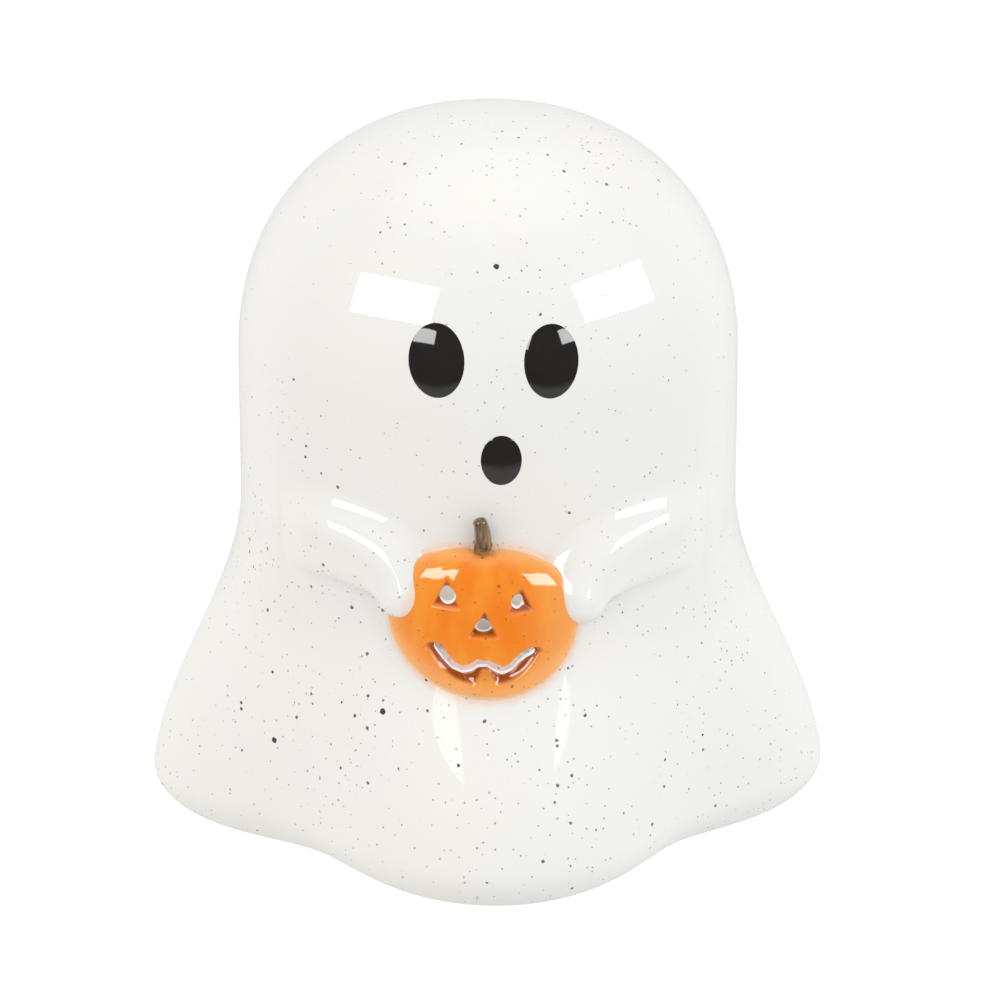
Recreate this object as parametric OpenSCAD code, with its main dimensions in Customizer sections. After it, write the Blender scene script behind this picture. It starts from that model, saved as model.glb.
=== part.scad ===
// A plain ceramic ghost that holds a pierced pumpkin, with a battery lamp in its base.
// Millimetres. +Z is up, the face looks along -Y, and the foot stands on z = 0.

/* [Body] */
// Height of the ghost
body_h = 155; // [146:1:170]
// Width of the head
head_w = 104; // [98:1:112]
// Depth of the head
head_d = 90; // [86:1:96]
// Width of the skirt over its side folds
skirt_w = 145; // [138:1:156]
// Depth of the skirt over its front and back folds
skirt_d = 132; // [126:1:142]
// Height at which the skirt begins to flare
skirt_h = 73.5; // [66:0.5:82]
// How far the hem draws in between its four folds
hem_dip = 14; // [9:0.5:15]
// Width of the hem's rounded underside
hem_round_w = 16; // [12:0.5:17]
// Height of the hem's rounded underside
hem_round_h = 11.5; // [9:0.5:14]
// Height at which the dome of the head begins
dome_z = 102.5; // [98:0.5:110]
// Thickness of the cast wall
wall = 4.5; // [3.5:0.1:5.5]
// Height of the bare foot under the glaze
foot_h = 1.2; // [0.8:0.1:2]
// How far the foot is set in from the hem
foot_inset = 1; // [0.5:0.1:1.5]

/* [Face] */
// Width of each eye
eye_w = 11.6; // [9:0.1:13]
// Height of each eye
eye_h = 16.2; // [13:0.1:18]
// Height of the middle of the eyes
eye_z = 115.2; // [112:0.1:118]
// Sideways place of the left eye's middle
left_eye_x = -12.3; // [-14:0.1:-11]
// Sideways place of the right eye's middle
right_eye_x = 10.5; // [9:0.1:13]
// Width of the mouth
mouth_w = 8.6; // [6:0.1:10]
// Height of the mouth
mouth_h = 11; // [8:0.1:12]
// Height of the mouth's middle
mouth_z = 94.6; // [92:0.1:98]
// Sideways place of the mouth's middle
mouth_x = 0.4; // [-1:0.1:2]
// How far the black enamel stands proud
enamel_rise = 0.35; // [0.2:0.05:0.5]

/* [Pumpkin] */
// Width of the pumpkin
pumpkin_w = 39; // [36:0.5:42]
// Height of the pumpkin
pumpkin_h = 31; // [29:0.5:34]
// How far the pumpkin stands out from the body
pumpkin_rise = 11; // [9:0.5:13]
// Sideways place of the pumpkin's middle
pumpkin_x = -3.8; // [-5:0.1:-2]
// Height of the pumpkin's middle
pumpkin_z = 62.4; // [60:0.1:65]
// Thickness of the pumpkin's wall
pumpkin_wall = 3.6; // [3:0.1:4.2]
// Thickness of the slot cut for the pumpkin's mouth
grin_w = 1.5; // [1:0.1:2]
// Height of the stem
stem_h = 9.4; // [7:0.1:11]
// Width of the stem at its root
stem_w = 4.2; // [3:0.1:5]
// How far the stem stands out from the body
stem_rise = 4.4; // [3:0.1:5.5]

/* [Arms] */
// Width of an arm at the sleeve
arm_w = 19; // [16:0.5:21]
// Width of a hand
hand_w = 10; // [8:0.5:12]
// Height of the left sleeve's middle
left_shoulder_z = 77; // [75:0.5:79]
// Height of the right sleeve's middle
right_shoulder_z = 74; // [72:0.5:77]
// How far a sleeve stands out from the body
sleeve_rise = 5; // [3.5:0.5:6.5]
// How far a hand stands out from the body
hand_rise = 11; // [9:0.5:12]
// How far a hand hangs below its sleeve
hand_drop = 12; // [10:0.5:13]

/* [Base opening] */
// Radius of the round hole in the floor
hole_r = 31; // [30.6:0.1:31.8]
// Radius of the recess under the floor
recess_r = 35; // [34.4:0.1:35.6]
// Depth of the recess under the floor
recess_h = 6; // [5.6:0.1:7]
// Thickness of the floor
floor_t = 5; // [4:0.1:6]
// Thickness of the sealing ring under the floor
seal_t = 1; // [0.8:0.1:1.2]

/* [Light unit] */
// Radius of the light unit's plug
plug_r = 29.85; // [29.6:0.05:29.9]
// Radius of the light unit's flange
flange_r = 33.5; // [33:0.1:34]
// Thickness of the flange
flange_t = 2; // [1.9:0.1:2.2]
// Thickness of the case walls
case_t = 1.6; // [1.4:0.1:1.7]
// Height of the case above the flange
case_h = 17.7; // [17.5:0.1:19]
// Thickness of the case's top plate
top_t = 1.8; // [1.4:0.1:2.2]
// Radius of the lamp's dome
lens_r = 8.5; // [8:0.1:9.5]
// Height of the lamp's dome above the case
lens_h = 14; // [12:0.5:17]
// Thickness of the lamp's dome
lens_t = 1.1; // [0.8:0.1:1.3]
// Travel of the slide switch
switch_travel = 3; // [2.5:0.1:3.5]

/* [Battery cells] */
// Radius of a cell
cell_r = 5.25; // [5.1:0.05:5.25]
// Length of a cell with its nub
cell_l = 44.5; // [44:0.1:44.5]
// Radius of a cell's nub
nub_r = 1.9; // [1.7:0.1:2.5]
// Height of a cell's nub
nub_h = 0.9; // [0.8:0.1:1.2]

/* [Hidden] */
$fn = 64;

// Clearances and the overrun of cuts
gap = 0.3;
fit_gap = 0.05;
over = 1;
bed = 0.8;

// Shape of the body
head_power_share = 2.1;
dome_power_share = 2.19;
flare_power_share = 1.12;
floor_z = recess_h + floor_t;
hem_top = foot_h + hem_round_h;
facets = 64;
hole_corner_r = hole_r / cos(180 / facets);
recess_corner_r = recess_r / cos(180 / facets);

function head_reach(a) = pow(pow(abs(cos(a)) / (head_w / 2), head_power_share)
    + pow(abs(sin(a)) / (head_d / 2), head_power_share), -1 / head_power_share);
function skirt_reach(a) = (skirt_w + skirt_d) / 4 + (skirt_w - skirt_d) / 4 * cos(2 * a)
    - hem_dip * (1 - cos(4 * a)) / 2;
function flare(z) = (1 + cos(180 * pow(min(max(z / skirt_h, 0), 1), flare_power_share))) / 2;
function dome(z, grow) = let (up = min(max((z - dome_z) / (body_h - dome_z + grow), 0), 1))
    pow(max(1 - pow(up, dome_power_share), 0), 1 / dome_power_share);
function hem(z) = let (down = min(max((hem_top - z) / hem_round_h, 0), 1))
    hem_round_w * (1 - sqrt(max(1 - down * down, 0)));
function reach(a, z, grow) =
    (head_reach(a) + (skirt_reach(a) - head_reach(a)) * flare(z) + grow) * dome(z, grow) - hem(z);
// A point on the body's surface, grown outward: az turns from the front towards +X
function skin(az, z, grow = 0) = let (r = reach(az - 90, z, grow)) [r * sin(az), -r * cos(az), z];
function az_of(x, z) = asin(x / reach(-90, z, 0));

// The pumpkin's place and the window behind it
pumpkin_az = az_of(pumpkin_x, pumpkin_z);
pumpkin_tilt = 12;
pumpkin_power_share = 2.7;
pumpkin_face_share = 2.5;
window_share = 0.74;
window_half_w = window_share * (pumpkin_w / 2 - pumpkin_wall);
window_half_h = window_share * (pumpkin_h / 2 - pumpkin_wall);
window_half_az = asin(window_half_w / reach(-90, pumpkin_z, 0));

// Columns and rows of the shell's surface
window_cols = 5;
dome_rows = 9;
chest_rows = 5;
window_rows = 4;
skirt_rows = 9;
hem_rows = 6;
cols = concat(
    [for (i = [0:window_cols - 1]) pumpkin_az + window_half_az * (2 * i / window_cols - 1)],
    [for (i = [0:facets - window_cols - 1])
        pumpkin_az + window_half_az + (360 - 2 * window_half_az) * i / (facets - window_cols)]);
window_top = pumpkin_z + window_half_h;
window_low = pumpkin_z - window_half_h;
function dome_row(i, grow) =
    dome_z + (body_h - dome_z + grow) * pow(sin(90 * (1 - i / dome_rows)), 2 / dome_power_share);
wall_rows = concat(
    [for (i = [1:chest_rows]) dome_z + (window_top - dome_z) * i / chest_rows],
    [for (i = [1:window_rows]) window_top + (window_low - window_top) * i / window_rows],
    [for (i = [1:skirt_rows]) window_low + (hem_top - window_low) * i / skirt_rows]);
first_window_row = dome_rows + chest_rows - 1;

function ring_at(z, grow) = [for (az = cols) skin(az, z, grow)];
function foot_ring(z) = [for (az = cols)
    let (r = reach(az - 90, foot_h, 0) - foot_inset) [r * sin(az), -r * cos(az), z]];
function round_ring(r, z) = [for (az = cols) [r * sin(az), -r * cos(az), z]];

// Rings from the crown down the outside, under the foot, up the hole and to the crown inside
outer_rings = concat(
    [for (i = [1:dome_rows]) ring_at(dome_row(i, 0), 0)],
    [for (z = wall_rows) ring_at(z, 0)],
    [for (i = [1:hem_rows]) ring_at(hem_top - hem_round_h * sin(90 * i / hem_rows), 0)]);
bottom_rings = [foot_ring(foot_h), foot_ring(0), round_ring(recess_corner_r, 0),
    round_ring(recess_corner_r, recess_h), round_ring(hole_corner_r, recess_h),
    round_ring(hole_corner_r, floor_z), ring_at(floor_z, -wall)];
inner_rings_down = concat(
    [for (i = [1:dome_rows]) ring_at(dome_row(i, -wall), -wall)],
    [for (z = wall_rows) ring_at(z, -wall)]);
inner_count = len(inner_rings_down);
inner_rings = [for (i = [0:inner_count - 1]) inner_rings_down[inner_count - 1 - i]];
shell_rings = concat(outer_rings, bottom_rings, inner_rings);
inner_last = len(shell_rings) - 1;
function flat(rings) = [for (ring = rings) for (p = ring) p];
function at(ring, col) = ring * facets + col % facets;
// The inner ring that lies behind an outer ring
function behind(ring) = inner_last - ring;
function in_window(ring, col) = col < window_cols
    && (ring >= first_window_row && ring < first_window_row + window_rows
        || ring >= behind(first_window_row + window_rows) && ring < behind(first_window_row));
function quad(a, b, c, d) = [[a, b, c], [a, c, d]];

module ghost_shell() {
    crown_out = len(shell_rings) * facets;
    last = first_window_row + window_rows;
    skin_faces = [for (k = [0:inner_last - 1]) for (j = [0:facets - 1]) if (!in_window(k, j))
        each quad(at(k, j), at(k, j + 1), at(k + 1, j + 1), at(k + 1, j))];
    crown_faces = [for (j = [0:facets - 1]) each [
        [crown_out, at(0, j + 1), at(0, j)],
        [at(inner_last, j), at(inner_last, j + 1), crown_out + 1]]];
    sill_faces = [for (j = [0:window_cols - 1]) each concat(
        quad(at(first_window_row, j), at(first_window_row, j + 1),
            at(behind(first_window_row), j + 1), at(behind(first_window_row), j)),
        quad(at(last, j + 1), at(last, j), at(behind(last), j), at(behind(last), j + 1)))];
    jamb_faces = [for (k = [first_window_row:last - 1]) each concat(
        quad(at(k + 1, 0), at(k, 0), at(behind(k), 0), at(behind(k + 1), 0)),
        quad(at(k, window_cols), at(k + 1, window_cols),
            at(behind(k + 1), window_cols), at(behind(k), window_cols)))];
    color([0.93, 0.93, 0.91])
        polyhedron(points = concat(flat(shell_rings), [[0, 0, body_h], [0, 0, body_h - wall]]),
            faces = concat(skin_faces, crown_faces, sill_faces, jamb_faces));
}

// A closed solid between two grids of points of one size
module between(front, back) {
    n = len(front);
    m = len(front[0]);
    total = n * m;
    function f(i, j) = i * m + j;
    function b(i, j) = total + i * m + j;
    polyhedron(points = concat(flat(front), flat(back)), faces = concat(
        [for (i = [0:n - 2]) for (j = [0:m - 2])
            each quad(f(i, j), f(i, j + 1), f(i + 1, j + 1), f(i + 1, j))],
        [for (i = [0:n - 2]) for (j = [0:m - 2])
            each quad(b(i, j), b(i + 1, j), b(i + 1, j + 1), b(i, j + 1))],
        [for (i = [0:n - 2]) each quad(f(i, 0), f(i + 1, 0), b(i + 1, 0), b(i, 0))],
        [for (i = [0:n - 2])
            each quad(f(i + 1, m - 1), f(i, m - 1), b(i, m - 1), b(i + 1, m - 1))],
        [for (j = [0:m - 2]) each quad(f(0, j + 1), f(0, j), b(0, j), b(0, j + 1))],
        [for (j = [0:m - 2])
            each quad(f(n - 1, j), f(n - 1, j + 1), b(n - 1, j + 1), b(n - 1, j))]));
}

// A raised shape on the body from a grid of [az, z, rise], bedded in the wall
module relief(places) {
    between([for (row = places) [for (p = row) skin(p[0], p[1], p[2])]],
        [for (row = places) [for (p = row) skin(p[0], p[1], -bed)]]);
}

// A point on the cubic curve that four points steer
function curve(a, b, c, d, t) = a * pow(1 - t, 3) + b * 3 * t * pow(1 - t, 2)
    + c * 3 * t * t * (1 - t) + d * pow(t, 3);
function curve_way(a, b, c, d, t) = (b - a) * pow(1 - t, 2) + (c - b) * 2 * t * (1 - t) + (d - c) * t * t;

// Arms, drawn on the unrolled body: along is 0 at the sleeve and 1 at the finger end, across runs
// from top to bottom
arm_rows = 9;
arm_steps = 20;
arm_skin_r = 49;
arm_outer = 52;
arm_lift = 1.5;
elbow_drop = 0.5;
elbow_share = 0.41;
arm_end_share = 5;
arm_reach_share = 0.96;
left_hand_share = 0.72;
right_hand_share = 0.95;
function unrolled(az) = arm_skin_r * az * PI / 180;
left_hand = unrolled(az_of(pumpkin_x - pumpkin_w / 2 * left_hand_share, pumpkin_z));
right_hand = unrolled(az_of(pumpkin_x + pumpkin_w / 2 * right_hand_share, pumpkin_z));
function arm_place(hand, shoulder, along, across) =
    let (outer = hand < 0 ? -arm_outer : arm_outer,
        a = [outer, shoulder], b = [outer + (hand - outer) * elbow_share, shoulder + arm_lift],
        c = [hand, shoulder - elbow_drop], d = [hand, shoulder - hand_drop],
        way = curve_way(a, b, c, d, along),
        down = (hand < 0 ? [way[1], -way[0]] : [-way[1], way[0]]) / norm(way),
        end = sqrt(1 - pow(abs(2 * along - 1) * arm_reach_share, arm_end_share)),
        half = (arm_w + (hand_w - arm_w) * along * along) / 2 * end,
        rise = (sleeve_rise + (hand_rise - sleeve_rise) * along * along) * end,
        p = curve(a, b, c, d, along) + down * half * across)
    [p[0] / arm_skin_r * 180 / PI, p[1], rise * sqrt(1 - across * across)];
function arm_grid(hand, shoulder) =
    [for (i = [0:arm_rows]) let (across = sin(90 * (2 * i / arm_rows - 1)))
        [for (j = [0:arm_steps]) let (along = hand < 0 ? j / arm_steps : 1 - j / arm_steps)
            arm_place(hand, shoulder, along, across)]];

module left_arm() color([0.95, 0.95, 0.93]) relief(arm_grid(left_hand, left_shoulder_z));

module right_arm() color([0.95, 0.95, 0.93]) relief(arm_grid(right_hand, right_shoulder_z));

// Pumpkin: a dome on a superellipse outline, hollow behind and open to the window
pumpkin_sides = 40;
pumpkin_rings = 8;
dimple_share = 0.07;
dimple_width_share = 0.16;
function outline_r(phi, power) = pow(pow(abs(cos(phi)), power) + pow(abs(sin(phi)), power), -1 / power);
function dimple(phi) = let (off = cos(phi) / dimple_width_share)
    sin(phi) > 0 ? 1 - dimple_share * exp(-off * off) : 1;
// A point of the dome: out is 0 at its middle and 1 at its outline, thin is the depth under the glaze
function pumpkin_point(phi, out, thin) =
    let (r = outline_r(phi, pumpkin_power_share) * out,
        rise = (pumpkin_rise - thin) * pow(1 - pow(out, pumpkin_face_share), 1 / pumpkin_face_share),
        x = pumpkin_x + (pumpkin_w / 2 - thin) * r * cos(phi),
        z = pumpkin_z + (pumpkin_h / 2 - thin) * r * sin(phi) * dimple(phi))
    skin(asin(x / (reach(-90, z, 0) + rise)), z, rise);
function pumpkin_rim(phi, thin) =
    let (r = outline_r(phi, pumpkin_power_share),
        z = pumpkin_z + (pumpkin_h / 2 - thin) * r * sin(phi) * dimple(phi))
    skin(az_of(pumpkin_x + (pumpkin_w / 2 - thin) * r * cos(phi), z), z, -bed);

module pumpkin_cup() {
    n = pumpkin_sides;
    m = pumpkin_rings;
    outer = [for (i = [1:m]) [for (j = [0:n - 1]) pumpkin_point(360 * j / n, sin(90 * i / m), 0)]];
    inner = [for (i = [m:-1:1])
        [for (j = [0:n - 1]) pumpkin_point(360 * j / n, sin(90 * i / m), pumpkin_wall)]];
    rims = [for (thin = [0, pumpkin_wall]) [for (j = [0:n - 1]) pumpkin_rim(360 * j / n, thin)]];
    rings = concat(outer, rims, inner);
    last = len(rings) - 1;
    front = len(rings) * n;
    polyhedron(points = concat(flat(rings), [pumpkin_point(0, 0, 0), pumpkin_point(0, 0, pumpkin_wall)]),
        faces = concat(
            [for (k = [0:last - 1]) for (j = [0:n - 1])
                each quad(k * n + j, k * n + (j + 1) % n, (k + 1) * n + (j + 1) % n, (k + 1) * n + j)],
            [for (j = [0:n - 1]) [front, (j + 1) % n, j]],
            [for (j = [0:n - 1]) [front + 1, last * n + j, last * n + (j + 1) % n]]));
}

module at_pumpkin() {
    translate(skin(pumpkin_az, pumpkin_z)) rotate([0, 0, pumpkin_az]) rotate([-pumpkin_tilt, 0, 0])
        children();
}

// A closed solid lofted through rings of one count, each ring a fan from its first point
module loft(rings) {
    n = len(rings[0]);
    last = len(rings) - 1;
    polyhedron(points = flat(rings), faces = concat(
        [for (k = [0:last - 1]) for (j = [0:n - 1])
            each quad(k * n + j, k * n + (j + 1) % n, (k + 1) * n + (j + 1) % n, (k + 1) * n + j)],
        [[for (j = [0:n - 1]) (n - j) % n]],
        [[for (j = [0:n - 1]) last * n + j]]));
}

// Cut-outs, as shares of the pumpkin's half width and half height
left_cut_shares = [[-0.365, 0.55], [-0.53, 0.17], [-0.24, 0.15]];
right_cut_shares = [[0.417, 0.46], [0.27, 0.12], [0.552, 0.15]];
nose_cut_shares = [[0.03, 0.09], [-0.125, -0.22], [0.156, -0.24]];
grin_shares = [[-0.52, -0.22], [-0.42, -0.4], [-0.25, -0.57], [-0.1, -0.56], [0.02, -0.5],
    [0.14, -0.56], [0.28, -0.6], [0.42, -0.5], [0.56, -0.27]];
cut_front_share = 1.35;
cut_inner_share = 0.55;
cut_corner_share = 0.16;
grin_front_share = 0.96;
grin_bevel_up = 0.8;
grin_bevel_low = 2;
cut_back = 0.8;

function cut_point(share) = [share[0] * pumpkin_w / 2, share[1] * pumpkin_h / 2];
// A triangle with its corners cut back and rounded, drawn about its middle
function soft_triangle(shares) = let (p = [for (s = shares) cut_point(s)])
    [for (i = [0:2]) let (back = p[(i + 2) % 3], next = p[(i + 1) % 3],
        a = p[i] + (back - p[i]) * cut_corner_share, b = p[i] + (next - p[i]) * cut_corner_share)
        each [a, (a + b + 2 * p[i]) / 4, b]];

module pierce(shares) {
    outline = soft_triangle(shares);
    mid = (outline[1] + outline[4] + outline[7]) / 3;
    levels = [[-pumpkin_rise - over, cut_front_share], [pumpkin_wall - pumpkin_rise, cut_inner_share],
        [-cut_back, cut_inner_share]];
    loft([for (level = levels) [for (p = outline) let (q = mid + (p - mid) * level[1]) [q[0], level[0], q[1]]]]);
}

// The grin: a slot along the smile, bevelled outward more below than above
module grin() {
    path = [for (s = grin_shares) cut_point(s)];
    last = len(path) - 1;
    half = grin_w / 2;
    front = -pumpkin_rise * grin_front_share;
    deep = pumpkin_wall - pumpkin_rise;
    loft([for (i = [0:last]) let (run = path[min(i + 1, last)] - path[max(i - 1, 0)],
        up = [-run[1], run[0]] / norm(run),
        place = function (out, y) let (q = path[i] + up * out) [q[0], y, q[1]])
        [place(half, deep), place(half, -cut_back), place(-half, -cut_back), place(-half, deep),
            place(-half - grin_bevel_low, front), place(half + grin_bevel_up, front)]]);
}

module pumpkin() {
    color([0.95, 0.52, 0.15]) difference() {
        pumpkin_cup();
        at_pumpkin() {
            pierce(left_cut_shares);
            pierce(right_cut_shares);
            pierce(nose_cut_shares);
            grin();
        }
    }
}

// Stem: leans to the left and tapers to a blunt tip
stem_steps = 8;
stem_rows = 6;
stem_lean = 1;
stem_off = 0.2;
stem_taper_share = 0.45;
stem_end_share = 6;
stem_root_z = pumpkin_z + pumpkin_h / 2 * (1 - dimple_share) - over;
module pumpkin_stem() {
    places = [for (i = [0:stem_steps]) let (up = 1 - i / stem_steps,
        end = sqrt(1 - pow(up, stem_end_share) * arm_reach_share), z = stem_root_z + stem_h * up,
        half = stem_w / 2 * (1 - stem_taper_share * up) * end)
        [for (j = [0:stem_rows]) let (across = sin(90 * (2 * j / stem_rows - 1)))
            [az_of(pumpkin_x + stem_off - stem_lean * up * up + half * across, z), z,
                stem_rise * end * sqrt(1 - across * across)]]];
    color([0.42, 0.3, 0.14]) relief(places);
}

// Black enamel ovals: a square grid drawn into a disc
enamel_steps = 8;
enamel_power_share = 0.35;
module enamel(x, z, w, h) {
    places = [for (i = [0:enamel_steps]) let (v = 1 - 2 * i / enamel_steps)
        [for (j = [0:enamel_steps]) let (u = 2 * j / enamel_steps - 1,
            across = u * sqrt(1 - v * v / 2), up = v * sqrt(1 - u * u / 2),
            full = max(1 - across * across - up * up, 0), y = z + h / 2 * up)
            [az_of(x + w / 2 * across, y), y, enamel_rise * pow(full, enamel_power_share)]]];
    color([0.04, 0.04, 0.04]) relief(places);
}

module left_eye() enamel(left_eye_x, eye_z, eye_w, eye_h);

module right_eye() enamel(right_eye_x, eye_z, eye_w, eye_h);

module mouth() enamel(mouth_x, mouth_z, mouth_w, mouth_h);

// Sealing ring: a washer under the floor and a sleeve that grips the plug
seal_low = recess_h - seal_t;
module sealing_ring() {
    inner = plug_r + fit_gap;
    color([0.85, 0.85, 0.83]) rotate_extrude($fn = 128) polygon([[inner, seal_low],
        [flange_r, seal_low], [flange_r, recess_h], [hole_r, recess_h], [hole_r, floor_z],
        [inner, floor_z]]);
}

// Levels of the light unit, from below
flange_top = seal_low - gap / 2;
flange_low = flange_top - flange_t;
case_top_z = flange_top + case_h;
plate_top = case_top_z + top_t;

// The battery bay: two cells side by side along X
cell_gap = 0.5;
cell_y = cell_r + cell_gap / 2;
contact_t = 0.3;
spring_l = 4.8;
end_gap = 0.1;
bay_l = cell_l + spring_l + 2 * contact_t + end_gap;
bay_w = 2 * (cell_y + cell_r + cell_gap / 2);
bay_t = 1.2;
cell_z = flange_top + gap / 2 + cell_r;
bay_top = cell_z + cell_r + cell_gap;
plate_x = bay_l / 2 - contact_t;

// The battery door in its stepped recess
door_t = 1.5;
door_step = 1.4;
ear_r = 4;
door_screw_y = bay_w / 2 + ear_r;
door_boss_r = 2.6;
door_screw_r = 1;
door_head_r = 2.1;
door_head_h = 0.8;
door_screw_l = 8;

// The case screws
screw_r = 1.2;
screw_head_r = 2.25;
screw_head_h = 1.2;
boss_r = 2.6;
boss_x = 16;
boss_y = 19.2;
boss_top = bay_top;
screw_top = case_top_z - gap;
screw_places = [for (x = [-boss_x, boss_x]) for (y = [-boss_y, boss_y]) [x, y]];

// The slide switch
switch_w = 10;
switch_d = 5;
switch_h = 5;
switch_y = -20;
knob_w = 3;
knob_d = 2.4;
knob_out = 0.8;
knob_in = 2;
pin_r = 0.4;
pin_h = 1.5;
pin_x = 3;

// The board under the top plate
board_l = 22;
board_w = 16;
board_t = 1.5;
board_drop = 1.2;
board_top = case_top_z - board_drop;
board_low = board_top - board_t;
stake_x = 8.4;
stake_r = 0.9;
post_r = 1.9;
led_r = 2.5;
led_rim_r = 2.9;
led_rim_h = 1;
led_body_h = 5;
leg_r = 0.25;
leg_x = 1.27;
leg_l = 2.2;
hole_gap = 0.1;
tab_w = 2.4;
tab_top = bay_top + bay_t + over;

module door_outline(grow) {
    square([bay_l + 2 * door_step + 2 * grow, bay_w + 2 * door_step + 2 * grow], center = true);
    translate([0, door_screw_y]) circle(ear_r + grow);
}

module tab_slots() {
    for (side = [-1, 1]) translate([plate_x + contact_t / 2, side * cell_y, bay_top - over])
        translate([-contact_t / 2 - gap, -tab_w / 2 - gap, 0])
            cube([contact_t + 2 * gap, tab_w + 2 * gap, bay_t + 2 * over]);
}

module base_cover() {
    color([0.9, 0.9, 0.88]) difference() {
        union() {
            translate([0, 0, flange_low]) cylinder(h = flange_t, r = flange_r, $fn = 128);
            difference() {
                translate([0, 0, flange_low]) cylinder(h = flange_t + case_h, r = plug_r, $fn = 128);
                translate([0, 0, flange_top])
                    cylinder(h = case_h + over, r = plug_r - case_t, $fn = 128);
            }
            translate([0, 0, (flange_top + bay_top + bay_t) / 2])
                cube([bay_l + 2 * bay_t, bay_w + 2 * bay_t, bay_top + bay_t - flange_top], center = true);
            for (p = screw_places) translate([p[0], p[1], flange_low])
                cylinder(h = boss_top - flange_low, r = boss_r);
            translate([0, door_screw_y, flange_low])
                cylinder(h = flange_t + door_screw_l, r = door_boss_r);
        }
        translate([0, 0, (flange_low + bay_top - over) / 2])
            cube([bay_l, bay_w, bay_top - flange_low + over], center = true);
        translate([0, 0, flange_low - over]) linear_extrude(door_t + gap / 2 + over) door_outline(gap);
        translate([0, door_screw_y, flange_low])
            cylinder(h = flange_t + door_screw_l - over, r = door_screw_r + fit_gap);
        for (p = screw_places) translate([p[0], p[1], flange_low - over]) {
            cylinder(h = boss_top - flange_low + 2 * over, r = screw_r + fit_gap);
            cylinder(h = screw_head_h + gap / 2 + over, r = screw_head_r + gap / 2);
        }
        translate([-(knob_w + switch_travel) / 2 - gap, switch_y - knob_d / 2 - gap, flange_low - over])
            cube([knob_w + switch_travel + 2 * gap, knob_d + 2 * gap, flange_t + 2 * over]);
        tab_slots();
    }
}

// The top plate with a spigot inside the case wall, its screw posts and the board's posts
spigot_h = 1.6;
spigot_t = 1.2;
module case_top() {
    spigot = plug_r - case_t - gap;
    color([0.88, 0.88, 0.86]) difference() {
        union() {
            translate([0, 0, case_top_z]) cylinder(h = top_t, r = plug_r, $fn = 128);
            translate([0, 0, case_top_z - spigot_h]) difference() {
                cylinder(h = spigot_h, r = spigot, $fn = 128);
                translate([0, 0, -over]) cylinder(h = spigot_h + over, r = spigot - spigot_t, $fn = 128);
            }
            for (p = screw_places) translate([p[0], p[1], boss_top])
                cylinder(h = case_top_z - boss_top + top_t / 2, r = boss_r);
            for (x = [-stake_x, stake_x]) translate([x, 0, board_top])
                cylinder(h = case_top_z - board_top + top_t / 2, r = post_r);
            for (x = [-stake_x, stake_x]) translate([x, 0, board_low - gap])
                cylinder(h = case_top_z - board_low + gap, r = stake_r);
        }
        translate([0, 0, case_top_z - over]) cylinder(h = top_t + 2 * over, r = lens_r - lens_t / 2 + gap);
        for (p = screw_places) translate([p[0], p[1], boss_top - over])
            cylinder(h = screw_top - boss_top + over + gap / 2, r = screw_r + fit_gap);
    }
}

// Lamp dome: a collar through the top plate, a flange on it and a round crown
lens_flange_w = 1.65;
module lamp_lens() {
    collar_r = lens_r - lens_t / 2;
    inner_r = collar_r - lens_t;
    flange = lens_r + lens_flange_w;
    crown_z = plate_top + lens_h - lens_r;
    color([0.97, 0.95, 0.88, 0.7]) rotate_extrude() difference() {
        union() {
            translate([0, case_top_z]) square([collar_r, top_t + over]);
            translate([0, plate_top]) square([flange, lens_t]);
            translate([0, plate_top]) square([lens_r, crown_z - plate_top]);
            intersection() {
                translate([0, crown_z]) circle(lens_r);
                translate([0, crown_z]) square(lens_r);
            }
        }
        translate([-over, case_top_z - over]) square([inner_r + over, crown_z - case_top_z + over]);
        translate([0, crown_z]) circle(inner_r);
    }
}

module led() {
    color([1, 0.95, 0.75, 0.8]) union() {
        translate([0, 0, board_top]) cylinder(h = led_rim_h, r = led_rim_r);
        translate([0, 0, board_top]) cylinder(h = led_rim_h + led_body_h, r = led_r);
        translate([0, 0, board_top + led_rim_h + led_body_h]) sphere(led_r);
        for (x = [-leg_x, leg_x]) translate([x, 0, board_top - leg_l])
            cylinder(h = leg_l + led_rim_h / 2, r = leg_r, $fn = 16);
    }
}

module circuit_board() {
    color([0.1, 0.4, 0.2]) difference() {
        translate([0, 0, (board_low + board_top) / 2])
            cube([board_l, board_w, board_t], center = true);
        for (x = [-leg_x, leg_x]) translate([x, 0, board_low - over])
            cylinder(h = board_t + 2 * over, r = leg_r + hole_gap, $fn = 16);
        for (x = [-stake_x, stake_x]) translate([x, 0, board_low - over])
            cylinder(h = board_t + 2 * over, r = stake_r + hole_gap);
    }
}

resistor_r = 0.7;
resistor_l = 5;
resistor_y = 5;
resistor_leg_r = 0.3;
module resistor() {
    z = board_low - resistor_r - hole_gap;
    color([0.8, 0.7, 0.5]) union() {
        translate([-resistor_l / 2, resistor_y, z]) rotate([0, 90, 0])
            cylinder(h = resistor_l, r = resistor_r, $fn = 24);
        for (x = [-1, 1]) translate([x * (resistor_l / 2 - 2 * resistor_leg_r), resistor_y, z])
            cylinder(h = board_low - z, r = resistor_leg_r, $fn = 16);
    }
}

module switch_body() {
    slot_w = knob_w + switch_travel + 2 * gap;
    color([0.15, 0.15, 0.16]) difference() {
        union() {
            translate([-switch_w / 2, switch_y - switch_d / 2, flange_top])
                cube([switch_w, switch_d, switch_h]);
            for (x = [-pin_x, pin_x]) translate([x, switch_y, flange_top + switch_h - over])
                cylinder(h = pin_h + over, r = pin_r, $fn = 16);
        }
        translate([-slot_w / 2, switch_y - knob_d / 2 - gap, flange_top - over])
            cube([slot_w, knob_d + 2 * gap, knob_in + gap + over]);
    }
}

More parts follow.
